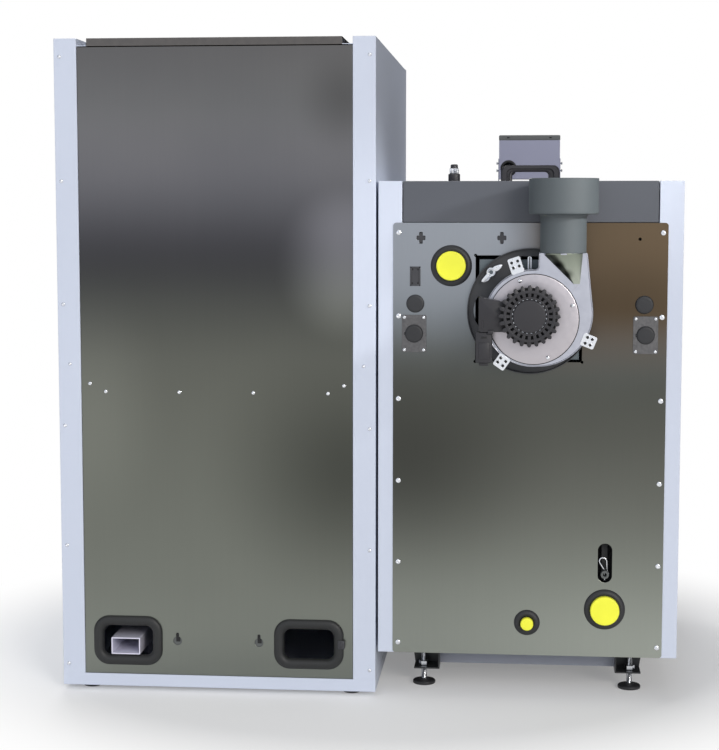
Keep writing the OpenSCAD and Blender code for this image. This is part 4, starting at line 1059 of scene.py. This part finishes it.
def cableInlets():
    bm = bmesh.new()
    section = softProfile(inletLook["section"], 0.7, sharp=(0, 9, 10, 11, 12))
    for x, z, face in inletLook["discs"]:
        turned(bm, section, (x, face, z), "Y", 56)
    # A small black box at the left edge of the two lower discs is painted shade in their notch
    for x, z, face in inletLook["discs"][2:]:
        softBox(bm, (x - 19.6, face - 1.4, z - 3), (x - 15.5, face + 0.3, z + 3), 0.5, 1, 2)
    half = inletLook["crossHalf"]
    for x, z in inletLook["crosses"]:
        softBox(bm, (x - half, 1.2, z - half), (x + half, 2.2, z + half), 0.3, 1, 1)
    x, z, wide, high = inletLook["socket"]
    rim = inletLook["rim"]
    housing = [((left, -4.5, low), (right, -1.5, top), 0.5, 2, 1) for left, low, right, top in (
        (0, 0, wide, rim), (0, high - rim, wide, high), (0, 0, rim, high), (wide - rim, 0, wide, high))]
    well = [((2.8, -3, 2.6), (wide - 2, 16, high - 2.5), 0.4, 1, 1)]
    studs = [((u, -3.5, v), (u + 2.8, -2.7, v + 3.4), 0.4, 1, 2) for u in (3.4, wide - 6.2) for v in (4, high - 7.4)]
    softBoxes(bm, (x, 0, z), housing + well + studs)
    dress("cableInlets", bm, [rubber, blackPlastic, blackAndPaintedShade], "cable_inlets")


cableInlets()


# Spring clip: one bent wire, its straight leg through the rod and its other leg sprung against it

# The rod's end is at rodSpot in x and z, and each point of the wire counts from there and from y
clipLook = {
    "rodSpot": (455.3, 262.5), "y": 3, "wire": 1.35,
    "straightLeg": [(0, 5, -12), (0, 5, 6), (-1.4, -1, 10), (-5.8, -1, 17), (-10.4, -1, 24.5)],
    "loop": [(-11.2, -1, 27.4), (-9.6, -1, 31.6), (-5.6, -1, 33.9), (-1.6, -1, 33.7), (2, -1, 31.2), (3.9, 0, 28)],
    "sprungLeg": [(4.2, 2, 20), (4.5, 4, 10), (6.4, 6, 4.5), (8.6, 7, 0), (7.4, 8, -5)]}


def springClip():
    points = clipLook["straightLeg"] + clipLook["loop"] + clipLook["sprungLeg"]
    rodX, rodZ = clipLook["rodSpot"]
    line = [(rodX + x, clipLook["y"] + y, rodZ + z) for x, y, z in softProfile(points, 3.0, 4)]
    bm = bmesh.new()
    joinMesh(bm, wireMesh(line, clipLook["wire"], screwSteel))
    dress("springClip", bm, [screwSteel], "r_clip", sharp=60)


springClip()
print("small rear fittings ready")


# Fan: housing with a rolled front edge, cover plate, lugs, wing nut, motor and terminal box

fanLook = {"voluteCentre": (306.5, 781.5), "leftRadius": 93, "rightCentre": (318.5, 791.5), "rightRadius": 102.5,
           "front": -95, "rim": 1.5, "plateCentre": (308, 779.5), "axis": (300, 788), "fins": 24, "stud": (224.5, 867)}


def arcPoints(centre, radius, start, end, steps):
    angles = [math.radians(start + (end - start) * k / steps) for k in range(steps + 1)]
    return [(centre[0] + radius * math.cos(angle), centre[1] + radius * math.sin(angle)) for angle in angles]


# Fillet beside the neck, the round left side, the spiral right side, then the outlet's slanted side
def spiralLine(inset=0.0):
    left, right = fanLook["voluteCentre"], fanLook["rightCentre"]
    points = [(318 + inset, 905), (318 + inset, 884), (316.8 + inset, 878), (312.5, 874.6 - inset)]
    points += arcPoints(left, fanLook["leftRadius"] - inset, 87.5, 276.2, 60)
    points += arcPoints(right, fanLook["rightRadius"] - inset, -90, 0, 32)
    return points + [(420.8 - inset, 796), (409.5 - inset, 905)]


def fanHousing():
    bm = drawnCopy("fan_volute")
    rim, front = fanLook["rim"], fanLook["front"]
    line = [(x, front + rim * 0.4, z) for x, z in spiralLine(rim * 0.2)]
    joinMesh(bm, wireMesh(line, rim, pressedSteel, 10))
    filler = [(312.4, 874.7), (318.2, 873.8), (318.2, 884), (316.9, 878.2)]
    plate(bm, filler, front + 0.2, -45)
    bm.normal_update()
    # These faces of the curved neck take the neck sheet's painted shade and highlight
    for face in bm.faces:
        centre = face.calc_center_median()
        if centre.z > 846 and 330 < centre.x < 408 and -0.985 < face.normal.y < -0.2:
            face.material_index = 1
    dress("fanHousing", bm, [pressedSteel, neckSheet], "fan_volute", sharp=180, soft=0.6)


# The thin black ring round the plate's edge is a painted shadow of the gap between plate and housing
plateLook = {"profile": [(8, -95), (8, -98), (60, -98), (72, -97.8), (85.8, -97.2), (87, -96.6), (87, -95)],
             "paintedGapShadow": [(86.4, -95), (86.4, -96.9), (88, -96.9), (88, -95)]}


def fanCoverPlate():
    bm = bmesh.new()
    x, z = fanLook["plateCentre"]
    turned(bm, softProfile(plateLook["profile"], 0.6, closed=True, sharp=(0, 6)), (x, 0, z), "Y", 128, closed=True)
    turned(bm, plateLook["paintedGapShadow"], (x, 0, z), "Y", 128, closed=True, finish=1)
    dress("fanCoverPlate", bm, [plateSteel, blackAndPaintedShade], "fan_cover_plate", sharp=32)


# The three lugs: x, z and turn, with their four holes from the centre
lugLook = {"places": ((272.4, 884.9, 108.4), (414, 738, -21.9), (247.6, 697.1, -125.3)), "holes": (5, 6),
           "front": -97, "corner": 3.2, "thickest": 0.0025}


# Rounds the square corners of a stamped plate, which run along Y and are as short as the plate is thick
def roundCorners(bm, radius, thickest):
    edges = []
    for edge in bm.edges:
        along = (edge.verts[1].co - edge.verts[0].co).normalized()
        if (len(edge.link_faces) == 2 and edge.is_convex and edge.calc_length() < thickest and abs(along.y) > 0.999
                and math.radians(70) < edge.calc_face_angle(0) < math.radians(110)):
            edges.append(edge)
    roundEdges(bm, edges, radius / 1000, 4)


def fanLugs():
    bm = mergedCopy("fan_lugs")
    roundCorners(bm, lugLook["corner"], lugLook["thickest"])
    for vert in bm.verts:
        vert.co = drawingSpot(vert.co)
    front = lugLook["front"]
    rim = softProfile([(2.8, front - 0.1), (2.9, front - 0.9), (3.6, front - 0.9), (4.2, front + 0.4)], 0.3)
    halfU, halfV = lugLook["holes"]
    for x, z, turn in lugLook["places"]:
        for u in (-halfU, halfU):
            for v in (-halfV, halfV):
                holeX, holeZ = turnedSpot(x, z, turn, u, v)
                turned(bm, rim, (holeX, 0, holeZ), "Y", 20)
                # Each hole is closed by a black disc, painted shade in the hole
                turned(bm, [(2.85, front - 0.12), (0, front - 0.12)], (holeX, 0, holeZ), "Y", 20, finish=1)
    # A thin upright black strip above the motor is a painted shadow of the gap behind the housing
    softBox(bm, (299, -9.8, 869), (301.2, -8.8, 897), 0.3, 1, 1)
    dress("fanLugs", bm, [lugSteelAndPaintedGlint, blackAndPaintedShade], "fan_lugs", sharp=180, soft=0.3)


# The wing nut's two leaves are seen from different sides: the turn and the outline of each
wingLook = {
    "leaves": ((38, [(6, -4.2), (13, -5.6), (20, -5.2), (27, -2.6), (25, 0.4), (18, 3.4), (12, 5.4), (6, 5.2)]),
               (238, [(6, -5.6), (14, -6.4), (22, -7.4), (26, -6.4), (24, -1), (17, 3.8), (6, 5.4)])),
    "y": (-23.5, -17),
    "body": [(4.05, -7), (9.8, -7), (9.8, -17.5), (8.6, -20), (6.2, -20), (5.4, -18.8), (4.05, -18.8)]}


def wingNut():
    bm = bmesh.new()
    x, z = fanLook["stud"]
    turned(bm, softProfile(wingLook["body"], 0.9, closed=True, sharp=(0, 6)), (x, 0, z), "Y", 48, closed=True)
    for turn, leaf in wingLook["leaves"]:
        outline = [turnedSpot(x, z, turn, u, v) for u, v in softProfile(leaf, 1.6, closed=True)]
        plate(bm, outline, *wingLook["y"], soft=1.1)
    dress("wingNut", bm, [lugSteelAndPaintedGlint], "wing_nut", sharp=45)


# Cooling crown: a slotted plastic ring of 24 teeth round a plain cap.
# Each ring is given by its inner and outer radius, its front and its back.
motorLook = {
    "body": [(0, -98), (36, -98), (36, -134), (0, -134)],
    "cap": [(0, -150), (29.8, -150), (31, -149), (31.4, -146.5), (31.6, -137), (0, -137)],
    "rings": ((33.4, 37.2, -146.5, -136), (44, 49.4, -146, -134)),
    "tooth": [(31, -2.3), (44, -3.2), (49.5, -4.2), (55, -4.6), (58.8, -2.2), (58.8, 1.4), (56, 3.4), (49.5, 3.6),
              (44, 3.2), (31, 2.3)],
    "toothY": (-145.6, -126), "back": [(0, -134.6), (54.2, -134.6), (54.2, -126), (0, -126)],
    "paintedGlintRing": [(31.5, -137), (31.5, -138), (33.5, -138), (33.5, -137)]}


def fanMotor():
    bm = bmesh.new()
    x, z = fanLook["axis"]
    centre = (x, 0, z)
    turned(bm, softProfile(motorLook["body"], 2.5, sharp=(0, 3)), centre, "Y", 64)
    turned(bm, softProfile(motorLook["cap"], 0.8, sharp=(0, 5)), centre, "Y", 96)
    for inside, outside, front, back in motorLook["rings"]:
        ring = [(inside, front), (outside, front), (outside, back), (inside, back)]
        turned(bm, softProfile(ring, 0.6, closed=True), centre, "Y", 96, closed=True)
    tooth = bmesh.new()
    plate(tooth, motorLook["tooth"], *motorLook["toothY"], soft=0.5)
    joinMesh(bm, radialCopies(tooth, fanLook["fins"], centre, blackPlastic))
    # The black disc behind the teeth is painted shade in the slots between them
    turned(bm, motorLook["back"], centre, "Y", 96, finish=1)
    # The bright ring round the cap is a painted glint
    turned(bm, motorLook["paintedGlintRing"], centre, "Y", 96, closed=True, finish=2)
    dress("fanMotor", bm, [motorPlastic, blackAndPaintedShade, lugSteelAndPaintedGlint], "fan_motor")


# Terminal box with its plug, counted from the motor's axis
# The last of the boxes, black, is painted shade of the slot in the plug's face
terminalLook = {
    "cover": [(-96.5, -31), (-33, -31), (-33, 22.6), (-96.5, 36)], "coverY": (-130, -98),
    "boxes": [((-91, -130.8, -27), (-88, -129.4, -8), 0.4, 1, 0), ((-79, -132.4, -34.5), (-69, -127, -28), 0.8, 2, 0),
              ((-102.5, -125, -91), (-71, -100, -31.5), 1.8, 3, 0), ((-97, -126.2, -84), (-76, -124, -52), 1.0, 2, 0),
              ((-92, -125.4, -44), (-81, -124.6, -40.5), 0.3, 1, 1)],
    "ribs": 5, "ribPitch": 7, "strain": ((-96, -119, -97), (-78, -104, -90), 1.6, 2, 0)}


def terminalBox():
    bm = bmesh.new()
    x, z = fanLook["axis"]
    outline = [(x + u, z + v) for u, v in softProfile(terminalLook["cover"], 3.0, 4, closed=True)]
    plate(bm, outline, *terminalLook["coverY"], soft=1.4)
    rises = [terminalLook["ribPitch"] * k for k in range(terminalLook["ribs"])]
    ribs = [((-102.9, -121, rise - 86), (-102.2, -104, rise - 82.5), 0.3, 1, 0) for rise in rises]
    softBoxes(bm, (x, 0, z), [*terminalLook["boxes"], *ribs, terminalLook["strain"]])
    dress("terminalBox", bm, [motorPlastic, blackAndPaintedShade], "terminal_box")


adaptorLook = {
    "place": (364, -72, 0),
    "profile": [(44.5, 907.2), (44.5, 976), (46, 980.4), (50, 981), (64, 981), (66.6, 982.6), (67, 986), (67, 1049),
                (66.2, 1050), (65.6, 1049.4), (65.5, 982.5), (43, 982.5), (43, 907.2)]}


def flueAdaptor():
    bm = bmesh.new()
    profile = softProfile(adaptorLook["profile"], 1.2, 3, closed=True, sharp=(0, 7, 8, 9, 11, 12))
    turned(bm, profile, adaptorLook["place"], steps=120, closed=True)
    dress("flueAdaptor", bm, [flueCoat], "flue_adaptor", sharp=32)


fanHousing()
fanCoverPlate()
fanLugs()
wingNut()
fanMotor()
terminalBox()
flueAdaptor()
print("fan ready")


# Control box on its bracket, with the rubber ring in its cable hole

# The ring's section counts from the hole's radius, the knobs stand on both sides at y, z, and the lid has two studs
controlLook = {
    "hole": (251.3, 1084.8, 16.7),
    "ring": [(-4, 703), (-4, 698.2), (-2.6, 696.6), (0.6, 696.6), (2.2, 698), (2.2, 700), (-0.1, 700), (-0.1, 703)],
    "sides": ((-1, 227.4), (1, 372.6)), "knobs": ((712, 1079.5), (712, 1096.5)),
    "lid": ((228.1, 699.4, 1149.6), (371.9, 768, 1162.4), 2.2, 3, 3),
    "studs": [((x - 2.6, 698.9, 1155.4), (x + 2.6, 700, 1157.6), 0.4, 1, 4) for x in (250, 349)],
    "display": ((243.5, 777.5, 1091), (322, 779.4, 1148.5), 0.5, 2, 1),
    "keys": [((x, 779, 1068), (x + 14, 781.6, 1079), 1.4, 3, 2) for x in (252, 276, 300)]}


def controlBox():
    bm = drawnCopy("control_box")
    x, z, radius = controlLook["hole"]
    ring = [(radius + grow, y) for grow, y in controlLook["ring"]]
    turned(bm, softProfile(ring, 0.6, closed=True), (x, 0, z), "Y", 48, closed=True, finish=1)
    for side, face in controlLook["sides"]:
        low, high = sorted((face, face + side * 5))
        middle = face + side * 3.6
        for y, z in controlLook["knobs"]:
            softBox(bm, (low, y - 2, z - 2), (high, y + 2, z + 2), 0.8, 2, 2)
            softBox(bm, (middle - 1.1, y - 3.4, z - 3.4), (middle + 1.1, y + 3.4, z + 3.4), 1, 2, 2)
    softBoxes(bm, (0, 0, 0), [controlLook["lid"], *controlLook["studs"]])
    dress("controlBox", bm, [lavenderCoat, blackAndPaintedShade, brightSteel, lidCoat, blackAndPaintedShade], "control_box", sharp=180,
          soft=0.7)


# Front of the control box: a plain display window, three keys and a rocker switch
def controlFront():
    bm = drawnCopy("control_bezel")
    softBoxes(bm, (0, 0, 0), [controlLook["display"], *controlLook["keys"]])
    dress("controlFront", bm, [bezelPlastic, displayGlass, greyKeys], "control_bezel", sharp=180, soft=1.2, steps=3)


def rockerSwitch():
    dress("rockerSwitch", mergedCopy("main_switch"), [blackPlastic], "main_switch", sharp=180, inFrame=True, soft=0.5)


controlBox()
controlFront()
rockerSwitch()


# Door lever: steel rose and shaft with a round black grip

# The grip's points count from the shaft, and the rose's from the door's face
leverLook = {
    "x": 150, "z": 425, "face": 903, "reach": 33,
    "rose": [(0, -11), (5, -11), (5, 5), (14, 5), (14, 21), (11, 24), (7, 26), (0, 26)],
    "grip": [(0, 19), (4.5, 18.2), (7.8, 15), (9, 10), (8.4, -12), (7.6, -40), (8.2, -70), (9, -100), (9, -120),
             (7.8, -125), (4.5, -128.2), (0, -129)]}


def doorLever():
    bm = bmesh.new()
    x, z, face = leverLook["x"], leverLook["z"], leverLook["face"]
    turned(bm, softProfile(leverLook["rose"], 1.4, sharp=(0, 7)), (x, face, z), "Y", 48, finish=1)
    turned(bm, softProfile(leverLook["grip"], 2.0, 3, sharp=(0, 11)), (x, face + leverLook["reach"], z), steps=40)
    dress("doorLever", bm, [handlePlastic, brightSteel], "door_handle")


doorLever()
print("controls and door lever ready")


# Mats of pressed mineral wool beside the vessel, with the soft uneven face of cut wool

# Only the left mat has the round hole, for the auger tube
matLook = {"sides": ((49, 70), (530, 551)), "y": (82, 840), "z": (130, 900), "columns": 38, "rows": 40,
           "hole": (450, 300), "holeReach": 59, "rimReach": 90, "bulge": 1.6, "drops": (2.4, 0.8)}


def matSpot(column, row):
    (y0, y1), (z0, z1) = matLook["y"], matLook["z"]
    return y0 + (y1 - y0) * column / matLook["columns"], z0 + (z1 - z0) * row / matLook["rows"]


def holeDistance(y, z):
    return math.hypot(y - matLook["hole"][0], z - matLook["hole"][1])


# One uneven face of a mat, sunk at its borders
def matFace(bm, x, inwards, holed):
    columns, rows = matLook["columns"], matLook["rows"]
    grid = []
    for column in range(columns + 1):
        line = []
        for row in range(rows + 1):
            y, z = matSpot(column, row)
            border = min(column, columns - column, row, rows - row)
            drop = matLook["drops"][border] if border < 2 else 0
            wave = matLook["bulge"] * abs(math.sin(y * 0.031 + x * 0.7 + 5) * math.cos(z * 0.027 + 3.7))
            line.append(bm.verts.new((x + inwards * (drop + wave), y, z)))
        grid.append(line)
    for column, (left, right) in enumerate(neighbours(grid, False)):
        for row in range(rows):
            if not holed or holeDistance(*matSpot(column + 0.5, row + 0.5)) > matLook["holeReach"]:
                corners = [left[row], right[row], right[row + 1], left[row + 1]]
                bm.faces.new(corners[::-inwards])


def insulationMats():
    bm = bmesh.new()
    for outside, inside in matLook["sides"]:
        mat = bmesh.new()
        matFace(mat, outside, 1, outside < 300)
        matFace(mat, inside, -1, outside < 300)
        bmesh.ops.delete(mat, geom=[vert for vert in mat.verts if not vert.link_faces], context="VERTS")
        rims = [edge for edge in mat.edges if len(edge.link_faces) == 1]
        inner = [edge for edge in rims if holeDistance(*edge.verts[0].co.yz) < matLook["rimReach"]]
        bmesh.ops.bridge_loops(mat, edges=[edge for edge in rims if edge not in inner])
        if inner:
            bmesh.ops.bridge_loops(mat, edges=inner)
        joinMesh(bm, meshOf(mat))
    dress("insulationMats", bm, [mineralWool], "insulation_mats", sharp=50)


insulationMats()


# Turbulators and their lifting rod are sooty; only the rod's end, seen in the rear slot, is wiped clean
def cleaningRods():
    bm = mergedCopy("turbulators")
    rodX, rodZ = clipLook["rodSpot"]
    pickFinishes(bm, lambda x, y, z: 1 if math.hypot(x - rodX, z - rodZ) < 10 and y < 11.9 else 0)
    dress("cleaningRods", bm, [sootSteel, wipedSteel], "turbulators", sharp=40, inFrame=True, soft=0.3)


cleaningRods()


# CAD nodes whose own shape is right get only their finish
plainFinish = {
    "hopper_bin": plainZinc, "auger_tube": plainZinc, "feed_auger": brightSteel, "auger_motor": darkCoat,
    "boiler_vessel": vesselCoat, "fire_chamber": vesselCoat, "smoke_tubes": vesselCoat, "smoke_box_lid": vesselCoat,
    "burner_pot": potIron, "fan_impeller": brightSteel}

for nodeName, finish in plainFinish.items():
    node = frame["nodes"][nodeName]
    node.data.materials.clear()
    node.data.materials.append(finish)
print("materials set")
